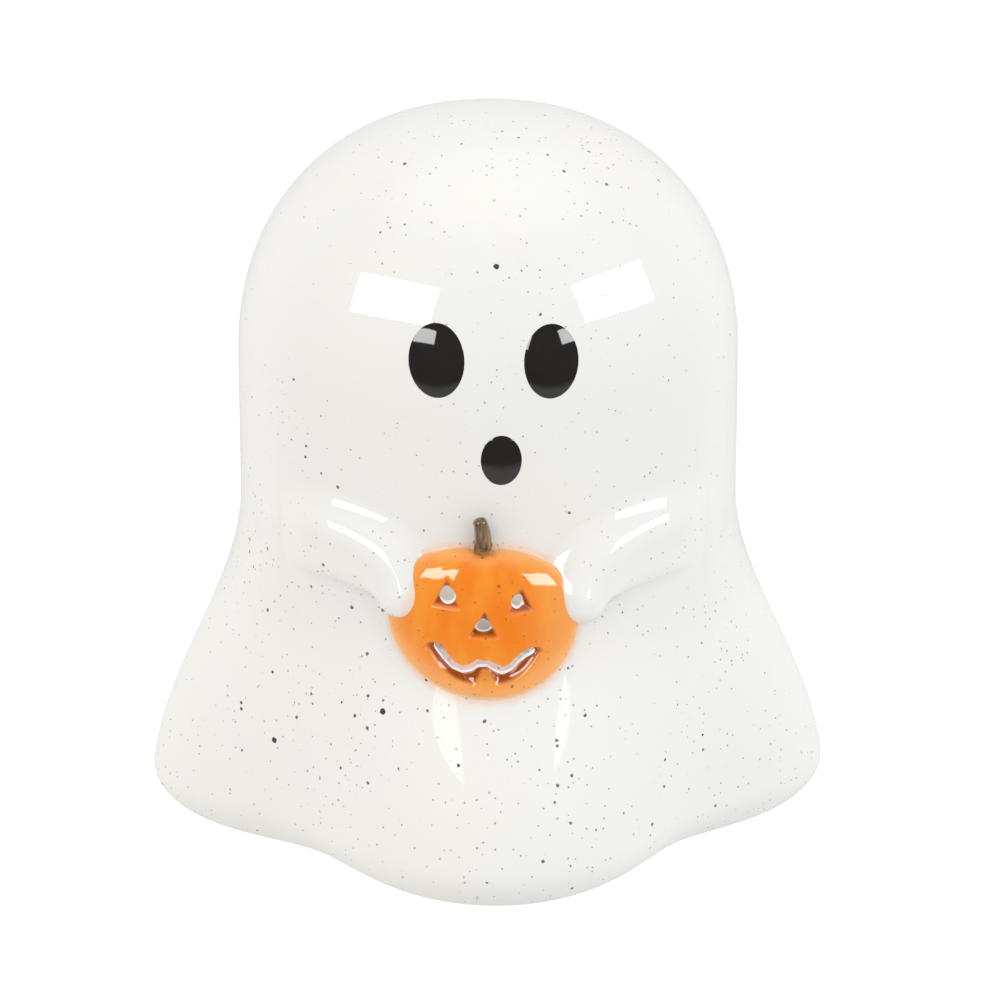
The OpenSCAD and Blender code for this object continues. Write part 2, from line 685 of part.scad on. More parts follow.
// Drawn at the on side: it slides towards +X to switch off
module switch_knob() {
    color([0.2, 0.2, 0.22]) translate([-(knob_w + switch_travel) / 2, switch_y - knob_d / 2,
        flange_low - knob_out])
        cube([knob_w, knob_d, knob_out + flange_t + knob_in]);
}

// A cell along X with its nub towards the given side
module cell(side) {
    barrel = cell_l - nub_h;
    nub_end = plate_x - end_gap;
    translate([side * nub_end, 0, cell_z]) rotate([0, -90 * side, 0]) {
        cylinder(h = nub_h + over, r = nub_r);
        translate([0, 0, nub_h]) cylinder(h = barrel, r = cell_r);
    }
}

module battery_1() color([0.12, 0.13, 0.14]) translate([0, -cell_y, 0]) cell(1);

module battery_2() color([0.12, 0.13, 0.14]) translate([0, cell_y, 0]) cell(-1);

contact_low = flange_top + gap;
contact_h = bay_top - contact_low - gap;
contact_w = bay_w / 2 - gap;
module contact(side, y, w, tab) {
    x = side > 0 ? plate_x : -plate_x - contact_t;
    color([0.78, 0.78, 0.76]) union() {
        translate([x, y - w / 2, contact_low]) cube([contact_t, w, contact_h]);
        if (tab) translate([x, y - tab_w / 2, contact_low])
            cube([contact_t, tab_w, tab_top - contact_low]);
    }
}

module bridge_plate() contact(-1, 0, bay_w - 2 * gap, false);

module positive_plate() contact(1, -cell_y, contact_w, true);

module negative_plate() contact(1, cell_y, contact_w, true);

// A tube swept along points, with flat ends
module tube(path, r, sides, ref) {
    last = len(path) - 1;
    rings = [for (i = [0:last]) let (
        along = path[min(i + 1, last)] - path[max(i - 1, 0)],
        t = along / norm(along),
        side = cross(t, ref) / norm(cross(t, ref)),
        up = cross(side, t))
        [for (j = [0:sides - 1]) path[i] + r * (cos(360 * j / sides) * side + sin(360 * j / sides) * up)]];
    polyhedron(points = flat(rings), faces = concat(
        [for (i = [0:last - 1]) for (j = [0:sides - 1])
            each quad(i * sides + j, i * sides + (j + 1) % sides,
                (i + 1) * sides + (j + 1) % sides, (i + 1) * sides + j)],
        [[for (j = [0:sides - 1]) sides - 1 - j]],
        [[for (j = [0:sides - 1]) last * sides + j]]));
}

// Contact springs: wire coils that widen a little towards the plate
spring_turns = 3;
spring_rings = 8;
spring_sides = 6;
wire_r = 0.35;
spring_r = 3.2;
spring_lean_share = 0.12;
spring_run = spring_l - 2 * wire_r - end_gap;
function spring_path(side) = [for (i = [0:spring_turns * spring_rings])
    let (turn = 360 * i / spring_rings, share = i / (spring_turns * spring_rings),
        r = spring_r * (1 - spring_lean_share * share))
    [side * (plate_x - wire_r - spring_run * share), r * cos(turn), r * sin(turn)]];
spring_points = spring_path(1);
spring_gap = min([for (i = [0:(spring_turns - 1) * spring_rings])
    norm(spring_points[i + spring_rings] - spring_points[i])]) - 2 * wire_r;
echo(str("least gap between the spring's curls: ", spring_gap));

module spring(side, y) color([0.75, 0.75, 0.74]) translate([0, y, cell_z])
    tube(spring_path(side), wire_r, spring_sides, [1, 0, 0]);

module bridge_spring() spring(-1, -cell_y);

module negative_spring() spring(1, cell_y);

// Leads: soft wires on one curve each
lead_r = 0.5;
lead_sides = 8;
lead_rings = 12;
lead_rise = 0.6;
lead_reference_share = [0.3, 0.1, 1];
lead_z = tab_top + lead_r + 2 * fit_gap;
board_pad_x = 9.4;
board_pad_y = 5.2;
board_pad_z = board_low - lead_r - fit_gap;
switch_pin_z = flange_top + switch_h + pin_h + fit_gap;
lead_bend = 5;
lead_lift = 1.2;
module lead(a, b, c, d) tube([for (i = [0:lead_rings]) curve(a, b, c, d, i / lead_rings)],
    lead_r, lead_sides, lead_reference_share);

module positive_lead() {
    tab = [plate_x + contact_t / 2, -cell_y, lead_z];
    pin = [pin_x, switch_y, switch_pin_z];
    color([0.75, 0.1, 0.08]) lead(tab, tab + [-2 * cell_r, 0, lead_lift], pin + [0, 0, 2 * lead_bend], pin);
}

module negative_lead() {
    tab = [plate_x + contact_t / 2, cell_y, lead_z];
    pad = [board_pad_x, board_pad_y, board_pad_z];
    color([0.08, 0.08, 0.08]) lead(tab, tab + [-lead_bend, 0, 0], pad + [lead_bend, 0, -lead_rise], pad);
}

module switch_lead() {
    pin = [-pin_x, switch_y, switch_pin_z];
    pad = [-board_pad_x, -board_pad_y, board_pad_z];
    color([0.8, 0.8, 0.8])
        lead(pin, pin + [0, 0, 2 * lead_bend], pad + [-lead_bend, -lead_bend, -lead_rise], pad);
}

module case_screws() {
    color([0.6, 0.6, 0.62]) for (p = screw_places) translate([p[0], p[1], flange_low]) difference() {
        union() {
            cylinder(h = screw_head_h, r = screw_head_r);
            cylinder(h = screw_top - flange_low, r = screw_r);
        }
        for (turn = [0, 90]) rotate([0, 0, turn])
            translate([0, 0, screw_head_h / 4 - over / 2])
                cube([screw_head_r, screw_r / 2, screw_head_h / 2 + over], center = true);
    }
}

module battery_door() {
    color([0.86, 0.86, 0.84]) difference() {
        union() {
            translate([0, 0, flange_low]) linear_extrude(door_t) door_outline(0);
            translate([0, 0, flange_low + flange_t / 2])
                cube([bay_l - 2 * gap, bay_w - 2 * gap, flange_t], center = true);
        }
        translate([0, door_screw_y, flange_low - over]) {
            cylinder(h = flange_t + 2 * over, r = door_screw_r + fit_gap);
            cylinder(h = door_head_h + gap / 2 + over, r = door_head_r + gap / 2);
        }
    }
}

module door_screw() {
    color([0.6, 0.6, 0.62]) translate([0, door_screw_y, flange_low]) difference() {
        union() {
            cylinder(h = door_head_h, r = door_head_r);
            cylinder(h = flange_t + door_screw_l - 2 * over, r = door_screw_r);
        }
        for (turn = [0, 90]) rotate([0, 0, turn])
            translate([0, 0, door_head_h / 4 - over / 2])
                cube([door_head_r, door_screw_r / 2, door_head_h / 2 + over], center = true);
    }
}

ghost_shell();
left_arm();
right_arm();
pumpkin();
pumpkin_stem();
left_eye();
right_eye();
mouth();
sealing_ring();
base_cover();
case_top();
lamp_lens();
led();
circuit_board();
resistor();
switch_body();
switch_knob();
battery_1();
battery_2();
bridge_plate();
bridge_spring();
positive_plate();
negative_plate();
negative_spring();
positive_lead();
negative_lead();
switch_lead();
case_screws();
battery_door();
door_screw();
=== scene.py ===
"""A glazed ceramic ghost that holds a pierced pumpkin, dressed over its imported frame.

Lengths are millimetres, as in the CAD source, until a mesh is made: MM turns them into metres.
Angles around the body are radians from the front, and turn towards +X.
"""
import math

import bmesh
import bpy
import numpy as np
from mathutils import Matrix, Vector


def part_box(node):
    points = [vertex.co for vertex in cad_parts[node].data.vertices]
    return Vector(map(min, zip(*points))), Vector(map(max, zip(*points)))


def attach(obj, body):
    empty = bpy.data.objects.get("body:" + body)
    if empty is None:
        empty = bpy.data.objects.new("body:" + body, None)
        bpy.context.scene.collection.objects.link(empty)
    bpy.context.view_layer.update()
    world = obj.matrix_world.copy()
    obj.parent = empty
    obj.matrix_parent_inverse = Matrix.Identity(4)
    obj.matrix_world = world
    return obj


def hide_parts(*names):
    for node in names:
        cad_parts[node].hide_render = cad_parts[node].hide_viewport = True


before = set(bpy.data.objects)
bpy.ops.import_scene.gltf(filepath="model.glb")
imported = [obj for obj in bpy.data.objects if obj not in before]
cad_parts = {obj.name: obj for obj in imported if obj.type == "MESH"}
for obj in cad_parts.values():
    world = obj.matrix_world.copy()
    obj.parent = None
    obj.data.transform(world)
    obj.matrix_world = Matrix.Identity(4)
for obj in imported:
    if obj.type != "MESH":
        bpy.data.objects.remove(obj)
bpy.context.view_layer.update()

MM = 0.001

# Body, by the CAD source's formula, with the hem's lobes turned a little
BODY_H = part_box("ghost_shell")[1].z / MM
HEAD_W = 104.0
HEAD_D = 90.0
HEAD_POWER = 2.1
SKIRT_W = 145.0
SKIRT_D = 132.0
SKIRT_H = 73.5
FLARE_POWER = 1.12
HEM_DIP = 15.0
HEM_TURN = 0.09
HEM_ROUND_W = 16.0
HEM_ROUND_H = 11.5
DOME_Z = 102.5
DOME_POWER = 2.19
WALL = 4.5
FOOT_H = 1.2
FOOT_INSET = 1.0
RECESS_R = 35.0
RECESS_H = 6.0
HOLE_R = 31.0
FLOOR_Z = 11.0
HEM_TOP = FOOT_H + HEM_ROUND_H

# Arms, on the CAD source's lines over the unrolled body, with softer folds
ARM_SKIN_R = 49.0
ARM_OUTER = 52.0
ARM_LIFT = 2.0
ELBOW_DROP = 0.6
ELBOW_SHARE = 0.41
LEFT_SHOULDER_Z = 75.9
RIGHT_SHOULDER_Z = 74.8
LEFT_HAND_SHARE = -0.77
RIGHT_HAND_SHARE = 0.95
LEFT_SLEEVE_RISE = 3.8
RIGHT_SLEEVE_RISE = 3.4
LEFT_SLEEVE_TOP_HALF = 5.8
RIGHT_SLEEVE_TOP_HALF = 6.2
SLEEVE_LOW_HALF = 10.6
HAND_LOW_HALF = 4.6
HAND_TOP_HALF = 6.5
HAND_DROP = 13.0
HAND_RISE = 7.6
ARM_SPAN = (0.06, 0.88)
ARM_FADE = (-0.22, 0.34)
ARM_TOP_START = 0.8
ARM_LOW_START = 0.9
ARM_TOP_POWER = 2.0
ARM_LOW_POWER = 2.2
ARM_FILLET = 2.2
ARM_SIDE_BLEND = (-0.5, 0.5)
ARM_STEPS = 160
ARM_LOW_Z = 42.0
ARM_HIGH_Z = 98.0

# Pumpkin
PUMPKIN_X = -3.0
PUMPKIN_Z = 61.5
PUMPKIN_W = 38.2
PUMPKIN_H = 29.8
PUMPKIN_RISE = 6.2
PUMPKIN_WALL = 3.6
PUMPKIN_BED = 3.6
PUMPKIN_LOW_EXTRA = 0.9
PUMPKIN_FACE_POWER = 2.3
PUMPKIN_LOW_LEAN = 0.8
PUMPKIN_ROLL = math.radians(3.0)
PUMPKIN_STEP = 0.24

# Face
EYE_W = 11.1
EYE_H = 15.6
LEFT_EYE = (-12.1, 115.1)
RIGHT_EYE = (10.3, 114.7)
MOUTH_W = 8.6
MOUTH_H = 11.0
MOUTH = (0.45, 94.6)
ENAMEL_RISE = 0.75
ENAMEL_SINK = 0.15


# The body's surface
def head_reach(az):
    across = np.abs(np.sin(az)) / (HEAD_W / 2)
    deep = np.abs(np.cos(az)) / (HEAD_D / 2)
    return (across ** HEAD_POWER + deep ** HEAD_POWER) ** (-1 / HEAD_POWER)


def skirt_reach(az):
    oval = (SKIRT_W + SKIRT_D) / 4 - (SKIRT_W - SKIRT_D) / 4 * np.cos(2 * az)
    return oval - HEM_DIP * (1 - np.cos(4 * (az - HEM_TURN * np.sin(2 * az)))) / 2


def flare(z):
    return (1 + np.cos(math.pi * np.clip(z / SKIRT_H, 0, 1) ** FLARE_POWER)) / 2


def dome(z, grow):
    up = np.clip((z - DOME_Z) / (BODY_H - DOME_Z + grow), 0, 1)
    return np.maximum(1 - up ** DOME_POWER, 0) ** (1 / DOME_POWER)


def hem(z):
    down = np.clip((HEM_TOP - z) / HEM_ROUND_H, 0, 1)
    return HEM_ROUND_W * (1 - np.sqrt(np.maximum(1 - down * down, 0)))


def reach(az, z, grow=0.0):
    head = head_reach(az)
    return (head + (skirt_reach(az) - head) * flare(z) + grow) * dome(z, grow) - hem(z)


def skin(az, z, grow=0.0):
    """Points on the body's surface, grown outward."""
    r = reach(az, z, grow)
    return np.stack([r * np.sin(az), -r * np.cos(az), z + 0 * r], -1)


def az_of(x, z, grow=0.0):
    return np.arcsin(x / (reach(0.0, z) + grow))


def smooth_max(a, b, width):
    near = np.maximum(width - np.abs(a - b), 0)
    return np.maximum(a, b) + near * near / (4 * width)


def smooth_step(low, high, v):
    t = np.clip((v - low) / (high - low), 0, 1)
    return t * t * (3 - 2 * t)


# Arms as a height over the body's surface
def curve(points, t):
    a, b, c, d = points
    t = t[..., None]
    return a * (1 - t) ** 3 + 3 * b * t * (1 - t) ** 2 + 3 * c * t * t * (1 - t) + d * t ** 3


def arm_line(hand_x, shoulder_z):
    """The four points that steer an arm's middle line, on the unrolled body."""
    hand = float(az_of(hand_x, PUMPKIN_Z)) * ARM_SKIN_R
    outer = math.copysign(ARM_OUTER, hand)
    return [np.array(p) for p in (
        (outer, shoulder_z),
        (outer + (hand - outer) * ELBOW_SHARE, shoulder_z + ARM_LIFT),
        (hand, shoulder_z - ELBOW_DROP),
        (hand, shoulder_z - HAND_DROP))]


def ridge(q, power, start):
    """A round ridge over q from 0 to about 1, with straight sides that go on below zero."""
    top = (1 - start ** power) ** (1 / power)
    slope = -start ** (power - 1) * (1 - start ** power) ** (1 / power - 1)
    round_part = np.maximum(1 - np.minimum(q, start) ** power, 0) ** (1 / power)
    return np.where(q < start, round_part, top + slope * (q - start))


def arm_height(az, z, line, sleeve_rise, sleeve_top_half):
    """Height of one arm over the body, below zero away from it."""
    t = np.linspace(*ARM_SPAN, ARM_STEPS)
    path = curve(line, t)
    place = np.stack([az * ARM_SKIN_R, z + 0 * az], -1)
    off = place[..., None, :] - path
    nearest = np.argmin((off * off).sum(-1), -1)
    run = np.gradient(path, t, axis=0)[nearest]
    along = (np.take_along_axis(off, nearest[..., None, None], -2)[..., 0, :] * run).sum(-1)
    share = np.clip(t[nearest] + along / (run ** 2).sum(-1), *ARM_SPAN)
    off = place - curve(line, share)
    away = np.linalg.norm(off, axis=-1)
    hand_side = math.copysign(1, line[3][0] - line[0][0])
    above = (run[..., 0] * off[..., 1] - run[..., 1] * off[..., 0]) * hand_side
    tilt = above / np.linalg.norm(run, axis=-1) / np.maximum(away, 0.01)
    side = smooth_step(*ARM_SIDE_BLEND, tilt)
    low_half = SLEEVE_LOW_HALF + (HAND_LOW_HALF - SLEEVE_LOW_HALF) * share * share
    top_half = sleeve_top_half + (HAND_TOP_HALF - sleeve_top_half) * share * share
    half = low_half + (top_half - low_half) * side
    rise = sleeve_rise + (HAND_RISE - sleeve_rise) * share ** 3
    start = ARM_LOW_START + (ARM_TOP_START - ARM_LOW_START) * side
    power = ARM_LOW_POWER + (ARM_TOP_POWER - ARM_LOW_POWER) * side
    fade = smooth_step(*ARM_FADE, share)
    return rise * fade * ridge(away / half, power, start) - ARM_FILLET * (1 - fade)


LEFT_ARM = (arm_line(PUMPKIN_X + LEFT_HAND_SHARE * PUMPKIN_W / 2, LEFT_SHOULDER_Z),
            LEFT_SLEEVE_RISE, LEFT_SLEEVE_TOP_HALF)
RIGHT_ARM = (arm_line(PUMPKIN_X + RIGHT_HAND_SHARE * PUMPKIN_W / 2, RIGHT_SHOULDER_Z),
             RIGHT_SLEEVE_RISE, RIGHT_SLEEVE_TOP_HALF)


def arms(az, z):
    """Height of both arms over the body."""
    height = np.maximum(arm_height(az, z, *LEFT_ARM), arm_height(az, z, *RIGHT_ARM))
    return smooth_max(height, 0.0, ARM_FILLET)


# Meshes
class Shape:
    """Gathers grids of points into one mesh."""

    def __init__(self):
        self.points = []
        self.faces = []
        self.slots = []
        self.count = 0

    def grid(self, points, keep=None, slot=0, flip=False):
        """Adds a grid of points; keep says which of its cells are filled."""
        n, m = points.shape[:2]
        index = self.count + np.arange(n * m).reshape(n, m)
        cells = np.stack([index[:-1, :-1], index[:-1, 1:], index[1:, 1:], index[1:, :-1]], -1)
        if flip:
            cells = cells[..., ::-1]
        cells = cells[keep] if keep is not None else cells.reshape(-1, 4)
        self.points.append(points.reshape(-1, 3))
        self.faces += cells.tolist()
        self.slots += [slot] * len(cells)
        self.count += n * m

    def build(self, name, materials):
        mesh = bpy.data.meshes.new(name)
        mesh.from_pydata((np.concatenate(self.points) * MM).tolist(), [], self.faces)
        mesh.polygons.foreach_set("material_index", self.slots)
        return add_object(name, mesh, materials)


def add_object(name, mesh, materials):
    for material in materials:
        mesh.materials.append(material)
    mesh.shade_smooth()
    mesh.update()
    piece = bpy.data.objects.new(name, mesh)
    bpy.context.scene.collection.objects.link(piece)
    return piece


def weld(piece, distance=0.02):
    """Joins points that lie on each other, such as a grid's seam."""
    work = bmesh.new()
    work.from_mesh(piece.data)
    bmesh.ops.remove_doubles(work, verts=work.verts, dist=distance * MM)
    work.to_mesh(piece.data)
    work.free()


def store(piece, name, values):
    """Keeps one number for each point of the mesh, for a material to read."""
    piece.data.attributes.new(name, "FLOAT", "POINT").data.foreach_set("value", np.asarray(values, float))


def points_of(piece):
    flat = np.zeros(len(piece.data.vertices) * 3)
    piece.data.vertices.foreach_get("co", flat)
    return flat.reshape(-1, 3) / MM


# Materials
MIX_A = 6
MIX_B = 7
MIX_RESULT = 2
WHITE_LIGHT = (1.0, 1.0, 1.0, 1.0)
# colour of the painted glow on inner walls, standing in for the lamp's light
PAINTED_LAMP_GLOW = (1.0, 0.96, 0.97, 1.0)
LENS_LIGHT = (1.0, 0.96, 0.96, 1.0)


def smooth_range(node, numbers):
    """Sets a Map Range node to a smooth step, by its two ends and the two values there."""
    node.interpolation_type = "SMOOTHSTEP"
    for socket, number in zip(("From Min", "From Max", "To Min", "To Max"), numbers):
        node.inputs[socket].default_value = number


class Paint:
    """One procedural material on a Principled shader, with coordinates in millimetres."""

    def __init__(self, name, **numbers):
        self.material = bpy.data.materials.new(name)
        self.material.use_nodes = True
        self.tree = self.material.node_tree
        self.shader = self.tree.nodes["Principled BSDF"]
        for socket, value in numbers.items():
            self.shader.inputs[socket.replace("_", " ")].default_value = value
        place = self.node("ShaderNodeTexCoord").outputs["Object"]
        scale = self.node("ShaderNodeVectorMath", operation="SCALE", Scale=1 / MM)
        self.link(place, scale.inputs[0])
        self.mm = scale.outputs[0]

    def node(self, kind, operation=None, **numbers):
        node = self.tree.nodes.new(kind)
        if operation:
            node.operation = operation
        for socket, value in numbers.items():
            node.inputs[socket.replace("_", " ")].default_value = value
        return node

    def link(self, source, target):
        if isinstance(source, (int, float)):
            target.default_value = source
        elif isinstance(source, tuple):
            target.default_value = (*source, 1.0) if len(source) == 3 else source
        else:
            self.tree.links.new(source, target)

    def math(self, operation, a, b=0.0):
        node = self.node("ShaderNodeMath", operation)
        self.link(a, node.inputs[0])
        self.link(b, node.inputs[1])
        return node.outputs[0]

    def step(self, value, low, high, to_low=0.0, to_high=1.0):
        """A smooth step of value from low to high."""
        node = self.node("ShaderNodeMapRange")
        smooth_range(node, (low, high, to_low, to_high))
        self.link(value, node.inputs["Value"])
        return node.outputs[0]

    def stretch(self, share):
        """The coordinates with each axis scaled by its share."""
        node = self.node("ShaderNodeVectorMath", "MULTIPLY")
        self.link(self.mm, node.inputs[0])
        node.inputs[1].default_value = share
        return node.outputs[0]

    def axis(self, name):
        node = self.node("ShaderNodeSeparateXYZ")
        self.link(self.mm, node.inputs[0])
        return node.outputs[name]

    def noise(self, size, detail=2.0, place=None):
        """Noise whose lumps are about size millimetres across."""
        node = self.node("ShaderNodeTexNoise", Scale=1 / size, Detail=detail)
        self.link(place or self.mm, node.inputs["Vector"])
        return node.outputs["Fac"]

    def mix(self, share, a, b):
        node = self.node("ShaderNodeMix")
        node.data_type = "RGBA"
        self.link(share, node.inputs[0])
        self.link(a, node.inputs[MIX_A])
        self.link(b, node.inputs[MIX_B])
        return node.outputs[MIX_RESULT]

    def read(self, name):
        node = self.node("ShaderNodeAttribute")
        node.attribute_name = name
        return node.outputs["Fac"]

    def specks(self, cell, presence, radius, more):
        """Round specks: one in each cell of the given side, of which a share shows, or more."""
        warp = self.node("ShaderNodeTexNoise", Scale=1 / SPECK_WARP_SIZE, Detail=1.0)
        self.link(self.mm, warp.inputs["Vector"])
        shift = self.node("ShaderNodeVectorMath", "SCALE", Scale=SPECK_WARP)
        self.link(warp.outputs["Color"], shift.inputs[0])
        place = self.node("ShaderNodeVectorMath", "ADD")
        self.link(self.mm, place.inputs[0])
        self.link(shift.outputs[0], place.inputs[1])
        dots = self.node("ShaderNodeTexVoronoi", Scale=1 / cell)
        self.link(place.outputs[0], dots.inputs["Vector"])
        rand = self.node("ShaderNodeSeparateColor")
        self.link(dots.outputs["Color"], rand.inputs[0])
        chance = self.math("ADD", rand.outputs[0], more)
        size = self.step(chance, 1 - presence, 1.0, 0.0, radius / cell)
        inner = self.math("SUBTRACT", size, dots.outputs["Distance"])
        return self.step(inner, 0.0, SPECK_EDGE / cell)

    def colour(self, value):
        self.link(value, self.shader.inputs["Base Color"])

    def glow(self, light):
        self.shader.inputs["Emission Color"].default_value = light

    def bump(self, height, distance):
        """Bump from a 0 to 1 height, with its depth in millimetres."""
        node = self.node("ShaderNodeBump", Strength=1.0, Distance=distance * MM)
        self.link(height, node.inputs["Height"])
        previous = self.shader.inputs["Normal"].links
        if previous:
            self.link(previous[0].from_socket, node.inputs["Normal"])
        self.link(node.outputs[0], self.shader.inputs["Normal"])


WHITE = (0.86, 0.85, 0.82)
COOL_WHITE = (0.845, 0.85, 0.84)
SPECK = (0.035, 0.034, 0.04)
HALO = (0.93, 0.62, 0.48)
ORANGE = (0.90, 0.225, 0.014)
AMBER = (0.94, 0.31, 0.028)
# darker brown deep in the cuts: glaze pooling and painted shade of the recess
POOLED_AND_SHADED_BROWN = (0.36, 0.062, 0.002)
# lighter orange: partly thin glaze, partly painted light from the bright floor's reflection and the
# right-hand lamps
ORANGE_THIN_AND_LIT = (0.96, 0.46, 0.14)
# pale rim where the pumpkin meets the body: thin glaze with a painted highlight, which also lightens the
# crease there
RIM_HIGHLIGHT_PALE = (0.97, 0.78, 0.60)
INSIDE = (0.86, 0.82, 0.83)

# Specks: side of a cell, share of cells with a speck, largest radius and strength
TINY_SPECKS = (1.25, 0.60, 0.25, 0.62)
SMALL_SPECKS = (2.9, 0.30, 0.42, 0.85)
BIG_SPECKS = (7.5, 0.18, 0.68, 0.97)
SPECK_EDGE = 0.06
SPECK_WARP = 0.35
SPECK_WARP_SIZE = 0.625
CLOUD_SIZE = 26.0
CLOUD_SHARE = 0.8
DENSER_LOW = (55.0, 115.0, 0.06, -0.08)
DENSER_MIDDLE = (10.0, 55.0, 0.05, -0.04)


def speckled(paint, base, strength=1.0):
    """Iron specks in the glaze, denser in clouds, low down and near the front's middle."""
    cloud = paint.noise(CLOUD_SIZE, 1.0)
    dense = paint.math("MULTIPLY", paint.math("SUBTRACT", cloud, 0.5), CLOUD_SHARE)
    dense = paint.math("ADD", dense, paint.step(paint.axis("Z"), *DENSER_LOW))
    aside = paint.math("ABSOLUTE", paint.axis("X"))
    dense = paint.math("ADD", dense, paint.step(aside, *DENSER_MIDDLE))
    for cell, presence, radius, share in (TINY_SPECKS, SMALL_SPECKS, BIG_SPECKS):
        dots = paint.specks(cell, presence, radius, dense)
        base = paint.mix(paint.math("MULTIPLY", dots, share * strength), base, SPECK)
    return base


# The coat that gives the gloss, by height: weak on the skirt, full from the hands up
GLOSS_BY_HEIGHT = (45.0, 60.0, 0.2, 1.0)
# The orange that bleeds into the white round the pumpkin, by distance
HALO_FADE = (0.7, 2.2, 0.5, 0.0)
HALO_WAVER = 1.1


def white_glaze():
    paint = Paint("white_glaze", Roughness=0.5, Specular_IOR_Level=0.1, Coat_Roughness=0.03)
    pool = paint.step(paint.noise(34.0, 3.0), 0.35, 0.65)
    base = paint.mix(pool, WHITE, COOL_WHITE)
    waver = paint.math("MULTIPLY", paint.noise(2.4), HALO_WAVER)
    halo = paint.math("ADD", paint.read("to_pumpkin"), waver)
    base = paint.mix(paint.step(halo, *HALO_FADE), base, HALO)
    paint.link(paint.step(paint.axis("Z"), *GLOSS_BY_HEIGHT), paint.shader.inputs["Coat Weight"])
    paint.colour(speckled(paint, base))
    paint.bump(paint.noise(7.0, 1.0), 0.05)
    paint.bump(paint.noise(0.9, 2.0), 0.004)
    return paint.material


def bare_clay():
    paint = Paint("bare_clay", Roughness=0.85)
    paint.colour(paint.mix(paint.noise(3.0, 4.0), (0.74, 0.66, 0.55), (0.82, 0.76, 0.66)))
    paint.bump(paint.noise(0.35, 3.0), 0.08)
    return paint.material


def inner_wall_painted_glow():
    # the inner wall glows faintly: a painted glow standing in for the lamp's light
    paint = Paint("inner_wall_painted_glow", Roughness=0.35, Emission_Strength=0.06)
    paint.glow(PAINTED_LAMP_GLOW)
    paint.colour(paint.mix(paint.noise(12.0, 3.0), (0.78, 0.76, 0.72), (0.86, 0.84, 0.80)))
    paint.bump(paint.noise(2.5, 3.0), 0.06)
    return paint.material


# The pumpkin's glaze with painted light and shade, by millimetres across, over the body and under its own
# surface
# lighter towards the right side: painted light
RIGHT_SIDE_PAINTED_LIGHT = (2.0, 13.0, 0.0, 0.4)
# lighter near the body's surface: thin glaze and a painted reflection of the bright floor
EDGE_THIN_AND_LIT = (0.8, 6.6, 0.95, 0.0)
# pale at the joint with the body: thin glaze and a painted highlight
RIM_HIGHLIGHT_LOW = (0.2, 2.0, 0.9, 0.0)
# painted shade with glaze pooling: darker the deeper into the cuts
POOL_SHADE_DEPTHS = (0.1, 1.7)
BARE_DEEP = (2.4, 2.9)
PUMPKIN_SPECKS = 0.65
# strength of a painted glow on the cuts' inner walls, standing in for the lamp inside
CUT_WALL_PAINTED_GLOW = 0.29


def orange_glaze():
    paint = Paint("orange_glaze", Roughness=0.07, Coat_Weight=0.2, Coat_Roughness=0.03)
    streak = paint.noise(5.0, 3.0, paint.stretch((1.0, 1.0, 0.35)))
    base = paint.mix(paint.step(streak, 0.35, 0.7), ORANGE, AMBER)
    # painted light: lighter orange towards the right, and round the edges, where the glaze also thins
    base = paint.mix(paint.step(paint.axis("X"), *RIGHT_SIDE_PAINTED_LIGHT), base, ORANGE_THIN_AND_LIT)
    base = paint.mix(paint.step(paint.read("lift"), *EDGE_THIN_AND_LIT), base, ORANGE_THIN_AND_LIT)
    # pale rim at the joint: thin glaze plus a painted highlight that lightens the crease
    base = paint.mix(paint.step(paint.read("lift"), *RIM_HIGHLIGHT_LOW), base, RIM_HIGHLIGHT_PALE)
    deep = paint.read("depth")
    # painted shade and glaze pooling: darker brown deeper in the cuts
    base = paint.mix(paint.step(deep, *POOL_SHADE_DEPTHS), base, POOLED_AND_SHADED_BROWN)
    base = speckled(paint, base, PUMPKIN_SPECKS)
    # the cuts' inner walls: their own pale colour, plus a painted glow of the lamp's light
    inside = paint.step(deep, *BARE_DEEP)
    paint.colour(paint.mix(inside, base, INSIDE))
    paint.glow(PAINTED_LAMP_GLOW)
    paint.link(paint.math("MULTIPLY", inside, CUT_WALL_PAINTED_GLOW), paint.shader.inputs["Emission Strength"])
    paint.bump(paint.noise(4.5, 1.0), 0.04)
    return paint.material


# The stem's glaze: bare gold at its foot, darker towards its tip
STEM_GOLD = (0.72, 0.42, 0.14)
STEM_DARK = (0.07, 0.045, 0.03)
STEM_GOLD_TOP = 15.4
STEM_GOLD_FULL = 13.6
STEM_DARK_FROM = 19.0
STEM_DARK_TO = 23.5


def brown_glaze():
    paint = Paint("brown_glaze", Roughness=0.12, Coat_Weight=0.5, Coat_Roughness=0.04)
    streak = paint.noise(0.55, 3.0, paint.stretch((1.0, 1.0, 0.16)))
    base = paint.mix(paint.step(streak, 0.3, 0.7), (0.07, 0.038, 0.018), (0.30, 0.17, 0.07))
    high = paint.axis("Z")
    gold = paint.step(high, PUMPKIN_Z + STEM_GOLD_TOP, PUMPKIN_Z + STEM_GOLD_FULL)
    base = paint.mix(gold, base, STEM_GOLD)
    dark = paint.step(high, PUMPKIN_Z + STEM_DARK_FROM, PUMPKIN_Z + STEM_DARK_TO)
    paint.colour(paint.mix(paint.math("MULTIPLY", dark, 0.6), base, STEM_DARK))
    paint.bump(streak, 0.12)
    return paint.material


def black_enamel():
    paint = Paint("black_enamel", Roughness=0.06, Coat_Weight=0.3, Coat_Roughness=0.03)
    paint.colour(paint.mix(paint.noise(2.0, 3.0), (0.010, 0.009, 0.008), (0.016, 0.014, 0.012)))
    paint.bump(paint.noise(7.0, 1.0), 0.05)
    return paint.material


